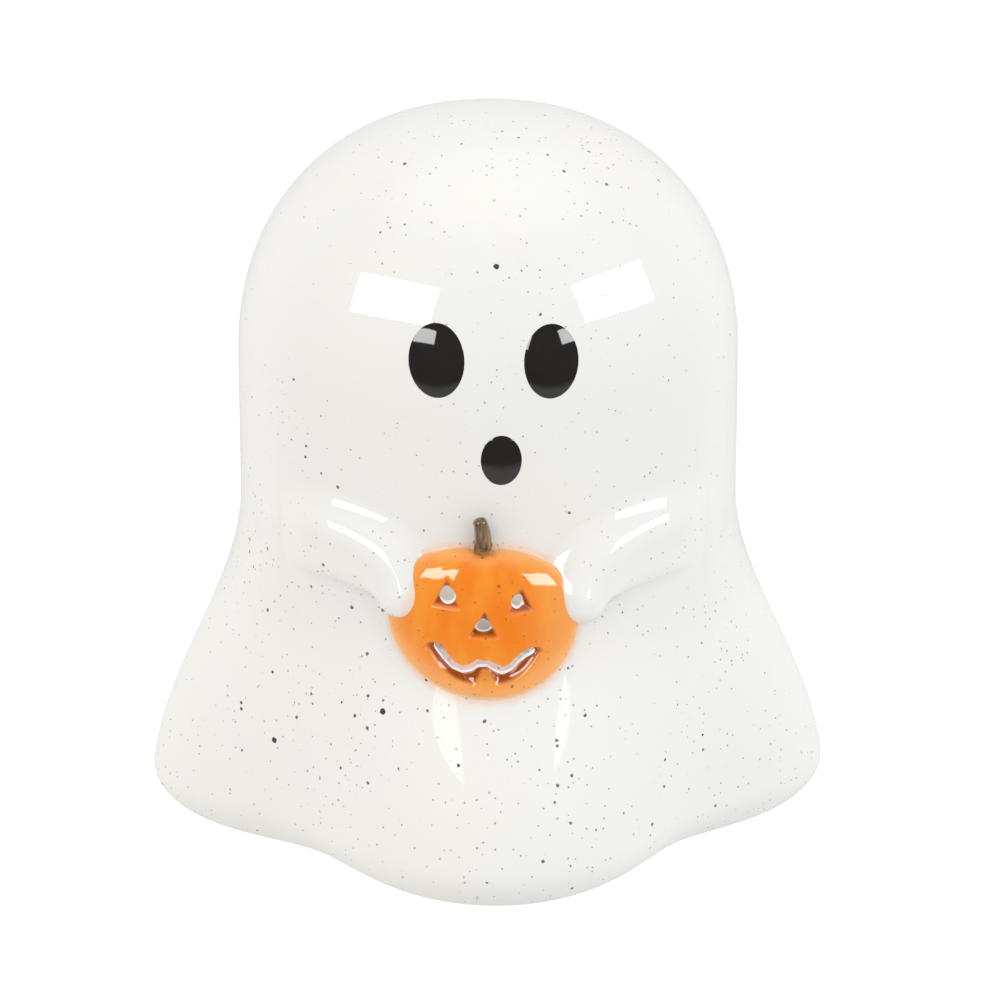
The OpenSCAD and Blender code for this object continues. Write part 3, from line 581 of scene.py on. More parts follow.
def moulded(name, dark, light, rough):
    """Moulded plastic with a fine spark-eroded grain."""
    paint = Paint(name, Roughness=rough)
    paint.colour(paint.mix(paint.noise(9.0, 3.0), dark, light))
    paint.bump(paint.noise(0.25, 2.0), 0.012)
    return paint.material


def rubber(name, dark, light):
    paint = Paint(name, Roughness=0.55)
    paint.colour(paint.mix(paint.noise(2.5, 3.0), dark, light))
    paint.bump(paint.noise(0.4, 2.0), 0.01)
    return paint.material


def brushed(name, dark, light, way):
    """Bare metal with fine scratches along one direction."""
    paint = Paint(name, Metallic=1.0, Roughness=0.3)
    scratch = paint.noise(0.3, 3.0, paint.stretch(way))
    paint.colour(paint.mix(scratch, dark, light))
    paint.bump(scratch, 0.006)
    return paint.material


def frosted(name, base, glow):
    paint = Paint(name, Roughness=0.4, Transmission_Weight=0.35, Emission_Strength=glow)
    paint.glow(LENS_LIGHT)
    paint.colour(paint.mix(paint.noise(1.5, 3.0), base, tuple(0.94 * v for v in base)))
    paint.bump(paint.noise(0.3, 2.0), 0.01)
    return paint.material


def board_green():
    paint = Paint("board_laminate", Roughness=0.35, Coat_Weight=0.4)
    brick = paint.node("ShaderNodeTexBrick", Scale=0.22, Mortar_Size=0.06)
    for socket, green in (("Color1", (0.02, 0.16, 0.07)), ("Color2", (0.02, 0.17, 0.075)),
                          ("Mortar", (0.05, 0.26, 0.11))):
        paint.link(green, brick.inputs[socket])
    paint.link(paint.mm, brick.inputs["Vector"])
    paint.colour(brick.outputs["Color"])
    paint.bump(paint.noise(0.5, 2.0), 0.01)
    return paint.material


# The resistor's colour bands: middle and colour
BANDS = ((-1.5, (0.45, 0.02, 0.01)), (-0.7, (0.02, 0.02, 0.02)),
         (0.1, (0.3, 0.12, 0.03)), (1.4, (0.6, 0.42, 0.1)))
BAND_EDGE = (0.17, 0.22, 1.0, 0.0)


def resistor_coat():
    paint = Paint("resistor_coat", Roughness=0.4)
    base = paint.mix(paint.noise(0.5, 2.0), (0.60, 0.47, 0.28), (0.66, 0.52, 0.32))
    for middle, band in BANDS:
        off = paint.math("ABSOLUTE", paint.math("SUBTRACT", paint.axis("X"), middle))
        base = paint.mix(paint.step(off, *BAND_EDGE), base, band)
    paint.colour(base)
    return paint.material


# Where a cell's copper band and bare caps start, along it from its middle
COPPER_FROM = (9.0, 9.2)
BARE_FROM = (23.5, 23.6)
BARE_BELOW = (-19.3, -19.4)


def cell_jacket(name, nub_side):
    """A plain printed sleeve: dark, with a copper band at the positive end and bare metal caps."""
    paint = Paint(name, Metallic=0.6, Roughness=0.25, Coat_Weight=0.6)
    along = paint.math("MULTIPLY", paint.axis("X"), float(nub_side))
    base = paint.mix(paint.noise(6.0, 2.0), (0.020, 0.022, 0.026), (0.030, 0.033, 0.040))
    base = paint.mix(paint.step(along, *COPPER_FROM), base, (0.55, 0.23, 0.09))
    bare = paint.math("ADD", paint.step(along, *BARE_FROM), paint.step(along, *BARE_BELOW))
    paint.colour(paint.mix(bare, base, (0.72, 0.72, 0.74)))
    paint.bump(paint.noise(0.8, 2.0), 0.006)
    return paint.material


# The ghost: glazed skin with both arms, bare foot and recess, inner wall and the window's edge
WINDOW_SHARE = 0.74
WINDOW_HALF_W = WINDOW_SHARE * (PUMPKIN_W / 2 - PUMPKIN_WALL)
WINDOW_HALF_H = WINDOW_SHARE * (PUMPKIN_H / 2 - PUMPKIN_WALL)
WINDOW_AZ = float(az_of(PUMPKIN_X, PUMPKIN_Z))
WINDOW_HALF_AZ = math.asin(WINDOW_HALF_W / float(reach(0.0, PUMPKIN_Z)))
WINDOW_LOW = PUMPKIN_Z - WINDOW_HALF_H
WINDOW_TOP = PUMPKIN_Z + WINDOW_HALF_H
FOOT_CHAMFER = 0.3
RECESS_CHAMFER = 0.5
BARE_SLOT = 1
INNER_SLOT = 2

# A distance out of reach of the halo and of the slot
FAR = 99.0

# Arms from this high over the body on are kept clear of the orange halo
ARM_CLEAR = (0.8, 2.5)
ARM_CLEAR_SHIFT = 3

# Grids: columns in front, behind and over the window; rows from the crown down to the hem
SIDE_AZ = math.radians(70)
ARM_ROWS_TOP = 92.0
ARM_ROWS_LOW = 48.0
UNDER_WINDOW = 6
SKIN_COLUMNS = (150, 70, 44)
SKIN_ROWS = (54, 16, 66, 44, 60, 20)
WALL_COLUMNS = (30, 16, 10)
WALL_ROWS = (14, 4, 6, 6, 14, 2)
EDGE_POINTS = 40


def spread(stops, counts):
    """Values that go evenly from stop to stop."""
    parts = [np.linspace(a, b, n, endpoint=False) for a, b, n in zip(stops, stops[1:], counts)]
    return np.append(np.concatenate(parts), stops[-1])


def body_columns(front, back, window):
    left = WINDOW_AZ - WINDOW_HALF_AZ
    right = WINDOW_AZ + WINDOW_HALF_AZ
    stops = (-math.pi, -SIDE_AZ, left, right, SIDE_AZ, math.pi)
    return spread(stops, (back, front, window, front, back))


def body_rows(crown, chest, arm, window, skirt, hem_steps, grow=0.0):
    """Heights from below the crown down to the hem, and those round the hem to the foot."""
    rise = BODY_H - DOME_Z + grow
    up = np.sin(np.linspace(math.pi / 2, 0, crown, endpoint=False)) ** (2 / DOME_POWER)
    stops = (DOME_Z, ARM_ROWS_TOP, WINDOW_TOP, WINDOW_LOW, ARM_ROWS_LOW, HEM_TOP)
    counts = (chest, arm, window, arm // UNDER_WINDOW, skirt)
    hem_turn = np.linspace(0, math.pi / 2, hem_steps + 1)[1:]
    rows = [DOME_Z + rise * up[1:], spread(stops, counts)]
    return np.concatenate(rows), HEM_TOP - HEM_ROUND_H * np.sin(hem_turn)


def window_cells(az, z):
    """Which cells of a grid lie outside the window."""
    az_middle = (az[:-1] + az[1:]) / 2
    z_middle = (z[:-1] + z[1:]) / 2
    across = np.abs(az_middle - WINDOW_AZ) < WINDOW_HALF_AZ
    up = (z_middle > WINDOW_LOW) & (z_middle < WINDOW_TOP)
    return ~(up[:, None] & across[None, :])


def to_pumpkin(points):
    """Distance in mm from the pumpkin's outline, outside it, on the body's front."""
    x = points[:, 0] - PUMPKIN_X
    z = points[:, 2] - PUMPKIN_Z
    share = pumpkin_share(x, z)
    away = np.hypot(x, z) * (1 - 1 / np.maximum(share, 0.01))
    az = np.arctan2(points[:, 0], -points[:, 1])
    arm = np.maximum(arms(az, points[:, 2]), 0)
    return np.where(points[:, 1] < 0, away, FAR) + ARM_CLEAR_SHIFT * smooth_step(*ARM_CLEAR, arm)


def crown_strip(az, z, grow=0.0):
    """Closes a grid at the top, from its first height to one point."""
    strip = np.zeros((2, len(az), 3))
    strip[0] = (0, 0, BODY_H + grow)
    strip[1] = skin(az, z[:1], grow)
    return strip


def add_skin(shape, az):
    z = np.concatenate(body_rows(*SKIN_ROWS))
    column, row = np.meshgrid(az, z)
    height = np.zeros_like(column)
    near = (z > ARM_LOW_Z) & (z < ARM_HIGH_Z)
    height[near] = arms(column[near], row[near])
    shape.grid(skin(column, row, height), window_cells(az, z))
    shape.grid(crown_strip(az, z))


def add_base(shape, az):
    """The bare foot, the recess, the hole's wall and the upper side of the floor."""
    foot_reach = reach(az, FOOT_H) - FOOT_INSET

    def ring(r, height):
        return np.stack([r * np.sin(az), -r * np.cos(az), height + 0 * az], -1)

    foot_top = ring(foot_reach, FOOT_H)
    hole_top = ring(HOLE_R, FLOOR_Z)
    floor_rim = skin(az, np.array([FLOOR_Z]), -WALL)
    shape.grid(np.stack([skin(az, np.array([FOOT_H])), foot_top]), slot=BARE_SLOT)
    bare = [foot_top, ring(foot_reach - FOOT_CHAMFER, 0.0), ring(RECESS_R + RECESS_CHAMFER, 0.0),
            ring(RECESS_R, RECESS_CHAMFER), ring(RECESS_R, RECESS_H), ring(HOLE_R, RECESS_H),
            hole_top, (hole_top + floor_rim) / 2, floor_rim]
    shape.grid(np.stack(bare), slot=BARE_SLOT)


def add_inner_wall(shape):
    az = body_columns(*WALL_COLUMNS)
    rows, _ = body_rows(*WALL_ROWS, -WALL)
    z = np.append(rows, FLOOR_Z)
    column, row = np.meshgrid(az, z)
    shape.grid(skin(column, row, -WALL), window_cells(az, z), slot=INNER_SLOT, flip=True)
    shape.grid(crown_strip(az, z, -WALL), slot=INNER_SLOT, flip=True)


def add_window_edge(shape):
    """The cut through the wall, all round the window."""
    side = np.linspace(-1, 1, EDGE_POINTS)
    end = np.ones(EDGE_POINTS)
    half_way = (WINDOW_LOW + WINDOW_TOP) / 2
    az = WINDOW_AZ + WINDOW_HALF_AZ * np.concatenate([side, end, -side, -end])
    z = half_way + WINDOW_HALF_H * np.concatenate([-end, side, end, -side])
    shape.grid(np.stack([skin(az, z, grow) for grow in (0.0, -WALL)]), slot=INNER_SLOT)


def ghost_body():
    shape = Shape()
    az = body_columns(*SKIN_COLUMNS)
    add_skin(shape, az)
    add_base(shape, az)
    add_inner_wall(shape)
    add_window_edge(shape)
    piece = shape.build("ghost_body", [white_glaze(), bare_clay(), inner_wall_painted_glow()])
    weld(piece)
    store(piece, "to_pumpkin", to_pumpkin(points_of(piece)))
    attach(piece, "ghost")
    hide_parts("ghost_shell", "left_arm", "right_arm")


# The pumpkin as a sampled solid: a hollow dome with soft cut-outs, wrapped on the body.
# Its own places run sideways and up from its middle. A cut is a funnel with three corners, a hole
# goes on through the wall, by its middle and half sizes.
LEFT_CUT = ((-7.6, 10.6), (-11.0, 4.3), (-5.0, 4.0))
LEFT_HOLE = (-7.5, 6.5, 1.6, 1.95)
RIGHT_CUT = ((7.2, 8.8), (4.0, 2.8), (10.0, 3.2))
RIGHT_HOLE = (6.3, 5.3, 1.2, 1.65)
NOSE_CUT = ((-0.2, 4.2), (-4.0, -1.8), (2.7, -1.9))
NOSE_HOLE = (-0.4, 0.2, 1.8, 1.35)
CUT_SLOPE = 0.5
CUT_ROUND = 0.3
CORNER_ROUND = 0.5
LIP_ROUND = 0.4
LEAN_BLEND = 14.0

# The smile's slot: its course, narrowed and lowered a little, and half its width
SLOT_PATH = ((-10.1, -1.5), (-8.6, -3.5), (-6.8, -5.3), (-5.0, -5.95), (-3.5, -5.55), (-1.9, -4.6),
             (0.5, -4.5), (2.05, -5.5), (3.6, -6.15), (5.15, -5.5), (6.7, -4.0), (8.15, -3.0), (9.6, -2.4))
SLOT_HALF = 0.92
SLOT_DROP = 2.8
SLOT_WIDTH_SHARE = 0.93

# The bevel under the slot: a lower edge that rises at both ends, a short roof and one tooth
GROOVE_DEPTH = 2.5
GROOVE_BOWL = 2.4
GROOVE_LOW = -12.2
GROOVE_RISE = 9.3
GROOVE_MIDDLE = -0.3
GROOVE_HALF = 12.1
GROOVE_POWER = 3
GROOVE_END_POWER = 6
GROOVE_LEAST = 0.4
GROOVE_ROOF = 3.2
GROOVE_ROOF_START = 0.6
TOOTH_X = 0.0
TOOTH_TOP_HALF = 1.0
TOOTH_LOW_HALF = 2.5
TOOTH_EDGE = 0.8
TOOTH_FILL = 0.7
BEVEL_SLOPE = 0.8
BEVEL_ROUND = 0.3

# The outline's power rises towards its shoulders, less on the right, and its top dips a little
OUTLINE_POWER = 2.12
SHOULDER_POWER = 0.35
SHOULDER_EASE = 0.3
SHOULDER_ASIDE = (-0.4, 0.6)
SHOULDER_UP = (-0.2, 0.5)
DIP_DEPTH = 0.055
DIP_MIDDLE = -0.04
DIP_HALF = 0.11
DIP_UP = (0.3, 0.9)

# Soft grooves between the ribs, only near the top
RIBS = (-0.72, -0.3, 0.26, 0.7)
RIB_HALF = 0.07
RIB_DEPTH = 0.15
RIB_UP = (0.6, 1.0)

# Room round the pumpkin in the sampled box: aside, behind and in front
ROOM_ASIDE = 1.0
ROOM_BEHIND = 0.6
ROOM_FRONT = 0.8
SETTLE_ROUNDS = 3
SETTLE_REACH = 0.02


def pumpkin_share(x, z):
    """1 on the pumpkin's outline, less inside it."""
    along = x * math.cos(PUMPKIN_ROLL) - z * math.sin(PUMPKIN_ROLL)
    up = x * math.sin(PUMPKIN_ROLL) + z * math.cos(PUMPKIN_ROLL)
    u = along / (PUMPKIN_W / 2)
    v = up / (PUMPKIN_H / 2 + np.where(up < 0, PUMPKIN_LOW_EXTRA, 0))
    shoulder = SHOULDER_POWER - SHOULDER_EASE * smooth_step(*SHOULDER_ASIDE, u)
    power = OUTLINE_POWER + shoulder * smooth_step(*SHOULDER_UP, v)
    share = (np.abs(u) ** power + np.abs(v) ** power) ** (1 / power)
    dip = DIP_DEPTH * np.exp(-((u - DIP_MIDDLE) / DIP_HALF) ** 2) * smooth_step(*DIP_UP, v)
    return share * (1 + dip)


def rib(x, z):
    """How far the ribs' grooves draw the surface in."""
    lean = x / (PUMPKIN_W / 2) / np.sqrt(np.clip(1 - (z / (PUMPKIN_H / 2)) ** 2, 0.04, 1))
    total = 0.0
    for place in RIBS:
        total = total + np.exp(-((lean - place) / RIB_HALF) ** 2)
    return total * RIB_DEPTH * smooth_step(*RIB_UP, z / (PUMPKIN_H / 2))


def dome_distance(x, z, out, share, thin):
    """Rough distance to the dome, drawn in by thin all round."""
    rise = PUMPKIN_RISE - thin
    shrink = 1 - thin / (PUMPKIN_W / 4 + PUMPKIN_H / 4)
    flat = share / shrink
    lift = np.maximum(out, 0) / rise
    size = (flat ** PUMPKIN_FACE_POWER + lift ** PUMPKIN_FACE_POWER) ** (1 / PUMPKIN_FACE_POWER)
    size = np.maximum(size, 0.05)
    return np.sqrt(x * x + z * z + out * out) * (1 - 1 / size)


def triangle_distance(x, z, corners):
    """Signed distance to a triangle whose corners run against the clock."""
    best = None
    for (ax, az), (bx, bz) in zip(corners, corners[1:] + corners[:1]):
        length = math.hypot(bx - ax, bz - az)
        edge = ((x - ax) * (bz - az) - (z - az) * (bx - ax)) / length
        best = edge if best is None else smooth_max(best, edge, CORNER_ROUND)
    return best


def egg_distance(x, z, hole):
    middle_x, middle_z, half_w, half_h = hole
    across = (x - middle_x) / half_w
    up = (z - middle_z) / half_h
    return (np.sqrt(across ** 2 + up ** 2) - 1) * min(half_w, half_h)


def slot_path():
    return np.array(SLOT_PATH) * (SLOT_WIDTH_SHARE, 1) - (0, SLOT_DROP)


def slot_distance(x, z):
    path = slot_path()
    best = np.full(np.broadcast(x, z).shape, FAR)
    for (ax, az), (bx, bz) in zip(path, path[1:]):
        run_x, run_z = bx - ax, bz - az
        t = np.clip(((x - ax) * run_x + (z - az) * run_z) / (run_x ** 2 + run_z ** 2), 0, 1)
        best = np.minimum(best, np.hypot(x - ax - t * run_x, z - az - t * run_z))
    return best


def groove_depth(x, z):
    """Depth of the grin's lower bevel, deepest at the slot and none at the lip."""
    path = slot_path()
    top = np.interp(x, path[:, 0], path[:, 1])
    aside = np.abs((x - GROOVE_MIDDLE) / GROOVE_HALF)
    low = GROOVE_LOW + GROOVE_RISE * aside ** GROOVE_POWER
    share = (top - z) / np.maximum(top - low, GROOVE_LEAST)
    below = GROOVE_DEPTH * (1 - np.clip(share, 0, 3) ** GROOVE_BOWL)
    above = GROOVE_DEPTH - GROOVE_ROOF * np.maximum(z - top - SLOT_HALF * GROOVE_ROOF_START, 0)
    depth = np.where(z > top, above, below)
    ends = 1 - aside ** GROOVE_END_POWER
    half = TOOTH_TOP_HALF + (TOOTH_LOW_HALF - TOOTH_TOP_HALF) * np.clip(share, 0, 1)
    tooth = 1 - smooth_step(half - TOOTH_EDGE, half + TOOTH_EDGE, np.abs(x - TOOTH_X))
    return np.where(ends > 0, depth * ends, -1.0) * (1 - TOOTH_FILL * tooth)


def pumpkin_field(x, z, out):
    """Below zero inside the pumpkin's clay. Also gives the depth under the outer glaze."""
    share = pumpkin_share(x, z)
    outer = dome_distance(x, z, out, share, 0.0) + rib(x, z)
    inner = dome_distance(x, z, out, share, PUMPKIN_WALL)
    depth = -outer
    clay = smooth_max(outer, -inner, LIP_ROUND)
    cut = None
    for corners, hole in ((LEFT_CUT, LEFT_HOLE), (RIGHT_CUT, RIGHT_HOLE), (NOSE_CUT, NOSE_HOLE)):
        funnel = triangle_distance(x, z, corners) + CUT_SLOPE * depth
        through = np.minimum(funnel, egg_distance(x, z, hole))
        cut = through if cut is None else np.minimum(cut, through)
    slot = slot_distance(x, z) - SLOT_HALF
    bevel = (depth - groove_depth(x, z)) * BEVEL_SLOPE
    cut = np.minimum(cut, -smooth_max(-slot, -bevel, BEVEL_ROUND))
    clay = smooth_max(clay, -cut, CUT_ROUND)
    return np.maximum(clay, -PUMPKIN_BED - out), depth


def surface_net(field):
    """Points and quads where a sampled field crosses zero, with one point in each crossed cell."""
    inside = field < 0
    cells = tuple(n - 1 for n in field.shape)
    total = np.zeros(cells + (3,), np.float32)
    count = np.zeros(cells, np.float32)

    def corner(values, shift):
        return values[tuple(slice(s, s + n) for s, n in zip(shift, cells))]

    for axis in range(3):
        others = [k for k in range(3) if k != axis]
        for first in (0, 1):
            for second in (0, 1):
                low = [0, 0, 0]
                low[others[0]] = first
                low[others[1]] = second
                high = list(low)
                high[axis] = 1
                a = corner(field, low)
                b = corner(field, high)
                crossed = corner(inside, low) != corner(inside, high)
                gap = np.where(crossed, a - b, 1.0)
                for k in range(3):
                    place = a / gap if k == axis else low[k]
                    total[..., k] += np.where(crossed, place, 0.0)
                count += crossed
    used = count > 0
    index = np.full(cells, -1)
    index[used] = np.arange(used.sum())
    points = total[used] / count[used][:, None] + np.argwhere(used)
    quads = []
    for axis in range(3):
        b, c = (axis + 1) % 3, (axis + 2) % 3
        span = [slice(1, n - 1) for n in field.shape]
        span[axis] = slice(0, field.shape[axis] - 1)
        ahead = list(span)
        ahead[axis] = slice(1, field.shape[axis])
        start = inside[tuple(span)]
        crossed = start != inside[tuple(ahead)]
        base = np.argwhere(crossed)
        base[:, b] += 1
        base[:, c] += 1

        def cell(shift_b, shift_c):
            at = base.copy()
            at[:, b] += shift_b
            at[:, c] += shift_c
            return index[tuple(at.T)]

        loop = np.stack([cell(-1, -1), cell(0, -1), cell(0, 0), cell(-1, 0)], -1)
        outward = start[crossed]
        quads.append(np.where(outward[:, None], loop, loop[:, ::-1]))
    return points, np.concatenate(quads)


def settle(points):
    """Moves points onto the field's zero surface."""
    for _ in range(SETTLE_ROUNDS):
        value, _ = pumpkin_field(*points.T)
        slope = np.zeros_like(points)
        for k in range(3):
            step = np.zeros(3)
            step[k] = SETTLE_REACH
            more, _ = pumpkin_field(*(points + step).T)
            slope[:, k] = (more - value) / SETTLE_REACH
        size = np.maximum((slope ** 2).sum(-1), 0.1)
        move = np.clip(value / size, -PUMPKIN_STEP / 2, PUMPKIN_STEP / 2)
        points = points - slope * move[:, None]
    return points


def on_body(x, z, out):
    """Points at sideways place x and height z, out from the body's surface."""
    return skin(az_of(x, z, out), z, out)


def on_face(x, z, out):
    """As on_body, but nearly upright above the pumpkin's middle, where the body leans."""
    level = PUMPKIN_Z - PUMPKIN_LOW_LEAN * smooth_max(PUMPKIN_Z - z, 0.0, LEAN_BLEND)
    placed = skin(az_of(x, level, out), level, out)
    placed[..., 2] = z
    return placed


def pumpkin():
    half_w = PUMPKIN_W / 2 + ROOM_ASIDE
    half_h = PUMPKIN_H / 2 + ROOM_ASIDE
    low = np.array([-half_w, -half_h, -PUMPKIN_BED - ROOM_BEHIND])
    high = np.array([half_w, half_h, PUMPKIN_RISE + ROOM_FRONT])
    counts = np.ceil((high - low) / PUMPKIN_STEP).astype(int)
    x, z, out = (low[k] + PUMPKIN_STEP * np.arange(counts[k]) for k in range(3))
    field, _ = pumpkin_field(x[:, None, None], z[None, :, None], out[None, None, :])
    points, quads = surface_net(field)
    points = settle(low + points * PUMPKIN_STEP)
    _, depth = pumpkin_field(*points.T)
    placed = on_face(PUMPKIN_X + points[:, 0], PUMPKIN_Z + points[:, 1], points[:, 2])
    az = np.arctan2(placed[:, 0], -placed[:, 1])
    lift = np.hypot(placed[:, 0], placed[:, 1]) - reach(az, placed[:, 2])
    mesh = bpy.data.meshes.new("pumpkin_dome")
    mesh.from_pydata((placed * MM).tolist(), [], quads.tolist())
    piece = add_object("pumpkin_dome", mesh, [orange_glaze()])
    store(piece, "depth", depth)
    store(piece, "lift", lift)
    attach(piece, "ghost")
    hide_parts("pumpkin")


# The stem: rings up a leaning line, fluted and drawn in at the tip
STEM_BASE = (-0.5, 15.2, 0.6)
STEM_BEND = (-0.1, 18.9, 2.0)
STEM_TIP = (-1.3, 22.2, 1.9)
STEM_BASE_HALF = 1.8
STEM_TIP_HALF = 1.4
STEM_TAPER = 0.8
STEM_COLLAR = 0.2
STEM_COLLAR_PLACE = 0.12
STEM_COLLAR_HALF = 0.06
STEM_ROUND_START = 0.8
STEM_ROUND_SPAN = 0.2
STEM_FLUTES = 5
STEM_FLUTE = 0.07
STEM_TWIST = 2.2
STEM_RINGS = 40
STEM_SIDES = 48


def stem():
    t = np.linspace(0, 1, STEM_RINGS)
    base, bend, tip = (np.array(p) for p in (STEM_BASE, STEM_BEND, STEM_TIP))
    line = base * ((1 - t) ** 2)[:, None] + bend * (2 * t * (1 - t))[:, None] + tip * (t * t)[:, None]
    way = np.gradient(line, axis=0)
    way /= np.linalg.norm(way, axis=1)[:, None]
    side = np.cross(way, (0.0, 0.0, 1.0))
    side /= np.linalg.norm(side, axis=1)[:, None]
    front = np.cross(side, way)
    collar = STEM_COLLAR * np.exp(-((t - STEM_COLLAR_PLACE) / STEM_COLLAR_HALF) ** 2)
    tip_round = np.sqrt(1 - np.clip((t - STEM_ROUND_START) / STEM_ROUND_SPAN, 0, 1) ** 3)
    half = (STEM_BASE_HALF + (STEM_TIP_HALF - STEM_BASE_HALF) * t ** STEM_TAPER + collar) * tip_round
    turn = np.linspace(0, 2 * math.pi, STEM_SIDES + 1)
    wave = np.cos(STEM_FLUTES * turn[None, :] + STEM_TWIST * t[:, None])
    flute = 1 + STEM_FLUTE * (1 - t[:, None] ** 3) * wave
    r = half[:, None] * flute
    local = (line[:, None, :] + side[:, None, :] * (r * np.cos(turn))[..., None]
             + front[:, None, :] * (r * np.sin(turn))[..., None])
    placed = on_face(PUMPKIN_X + local[..., 0], PUMPKIN_Z + local[..., 1], local[..., 2])
    shape = Shape()
    shape.grid(placed)
    piece = shape.build("stem", [brown_glaze()])
    weld(piece, 0.01)
    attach(piece, "ghost")
    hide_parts("pumpkin_stem")


# Eyes and mouth: thin ovals of enamel with a soft edge
ENAMEL_FLAT = 2.4
ENAMEL_EDGE = 0.8
ENAMEL_RINGS = 24
ENAMEL_SIDES = 128


def enamel(name, node, place, width, height, material):
    x, z = place
    share = np.sin(np.linspace(0, math.pi / 2, ENAMEL_RINGS))
    turn = np.linspace(0, 2 * math.pi, ENAMEL_SIDES + 1)
    out, angle = np.meshgrid(share, turn, indexing="ij")
    pillow = np.maximum(1 - out ** ENAMEL_FLAT, 0) ** ENAMEL_EDGE
    lift = (ENAMEL_RISE + ENAMEL_SINK) * pillow - ENAMEL_SINK
    across = x + width / 2 * out * np.cos(angle)
    up = z + height / 2 * out * np.sin(angle)
    shape = Shape()
    shape.grid(on_body(across, up, lift), flip=True)
    piece = shape.build(name, [material])
    weld(piece, 0.005)
    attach(piece, "ghost")
    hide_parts(node)


def face():
    black = black_enamel()
    enamel("left_eye_oval", "left_eye", LEFT_EYE, EYE_W, EYE_H, black)
    enamel("right_eye_oval", "right_eye", RIGHT_EYE, EYE_W, EYE_H, black)
    enamel("mouth_oval", "mouth", MOUTH, MOUTH_W, MOUTH_H, black)


def dress_frame():
    """Gives each CAD node that stays its own finish."""
    case = moulded("case_plastic", (0.76, 0.75, 0.71), (0.80, 0.79, 0.76), rough=0.42)
    black = moulded("switch_plastic", (0.010, 0.010, 0.012), (0.018, 0.018, 0.02), rough=0.38)
    plate = brushed("contact_steel", (0.60, 0.59, 0.56), (0.74, 0.73, 0.70), (1.0, 0.12, 1.0))
    zinc = brushed("screw_steel", (0.50, 0.50, 0.52), (0.66, 0.66, 0.68), (1.0, 0.2, 1.0))
    finishes = {
        "sealing_ring": rubber("seal_rubber", (0.64, 0.64, 0.62), (0.72, 0.72, 0.70)),
        "base_cover": case,
        "case_top": case,
        "battery_door": case,
        "lamp_lens": frosted("lens_plastic", (0.93, 0.92, 0.89), glow=5.5),
        "led": frosted("led_epoxy", (0.98, 0.92, 0.70), glow=20.0),
        "circuit_board": board_green(),
        "resistor": resistor_coat(),
        "switch_body": black,
        "switch_knob": black,
        "battery_1": cell_jacket("cell_jacket_1", nub_side=1),
        "battery_2": cell_jacket("cell_jacket_2", nub_side=-1),
        "positive_lead": rubber("lead_red", (0.42, 0.012, 0.01), (0.5, 0.02, 0.015)),
        "negative_lead": rubber("lead_black", (0.012, 0.012, 0.012), (0.02, 0.02, 0.02)),
        "switch_lead": rubber("lead_white", (0.7, 0.7, 0.68), (0.78, 0.78, 0.76)),
    }
    for node in ("bridge_plate", "bridge_spring", "positive_plate", "negative_plate", "negative_spring"):
        finishes[node] = plate
    for node in ("case_screws", "door_screw"):
        finishes[node] = zinc
    for node, material in finishes.items():
        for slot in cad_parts[node].material_slots:
            slot.material = material


# Studio, in metres: a camera, boxes seen in the gloss alone, panels that light all but the gloss
TARGET = Vector((0, 0, BODY_H * MM / 2))
VIEW_TURN = math.radians(-2.75)
VIEW_UP = math.radians(20.0)
VIEW_DISTANCE = 1.0
SENSOR_W = 36.0
LENS = 173.16
SHIFT_X = 0.0068
SHIFT_Y = -0.0313
FLOOR_GAP = 0.0001
FLOOR_HALF = 4.0
FLOOR_FRONT = -0.27
FLOOR_GLOW = 0.45

# Softboxes: name, then turn and rise from the camera's axis in degrees
SOFTBOXES = (("left_softbox", -35, 8), ("right_softbox", 52, 11))
SOFTBOX_AWAY = 0.9
SOFTBOX_SIZE = (0.60, 0.26)
SOFTBOX_LIGHT = 10.0

# Panels: name, turn and rise from the front in degrees, distance, size and brightness
PANELS = (("left_panel", -42, 24, 1.2, (1.2, 1.0), 0.96),
          ("right_panel", 42, 24, 1.2, (1.2, 1.0), 1.12),
          ("top_panel", 0, 72, 1.3, (1.0, 1.0), 0.32))

# The world's strength along one axis: where its change starts and ends, then the two strengths
GLOSS_BEHIND = (-0.15, 0.6, 0.22, 1.0)
GLOSS_ABOVE = (0.7, 0.98, 0.22, 1.3)
GLOSS_TABLE = (-0.34, -0.52, 0.22, 1.0)
EVEN_BELOW = (-0.95, -0.25, 0.7, 1.0)
EVEN_LEVEL = (-0.1, 0.35, 1.45, 1.0)
EVEN_FRONT = (-0.8, 0.3, 0.56, 1.01)
LEFT_TO_RIGHT = (-1.0, 1.0, 0.0, 1.0)
WARM_LIGHT = (1.0, 0.975, 0.93, 1.0)
COOL_LIGHT = (0.985, 1.0, 1.0, 1.0)


def towards(turn, up):
    """A direction from the target, turned from the front towards +X and raised."""
    return Vector((math.sin(turn) * math.cos(up), -math.cos(turn) * math.cos(up), math.sin(up)))


def camera():
    data = bpy.data.cameras.new("camera")
    data.sensor_width = SENSOR_W
    data.lens = LENS
    data.shift_x = SHIFT_X
    data.shift_y = SHIFT_Y
    view = bpy.data.objects.new("camera", data)
    bpy.context.scene.collection.objects.link(view)
    view.location = TARGET + towards(VIEW_TURN, VIEW_UP) * VIEW_DISTANCE
    view.rotation_euler = (TARGET - view.location).to_track_quat("-Z", "Y").to_euler()
    bpy.context.scene.camera = view
    return view


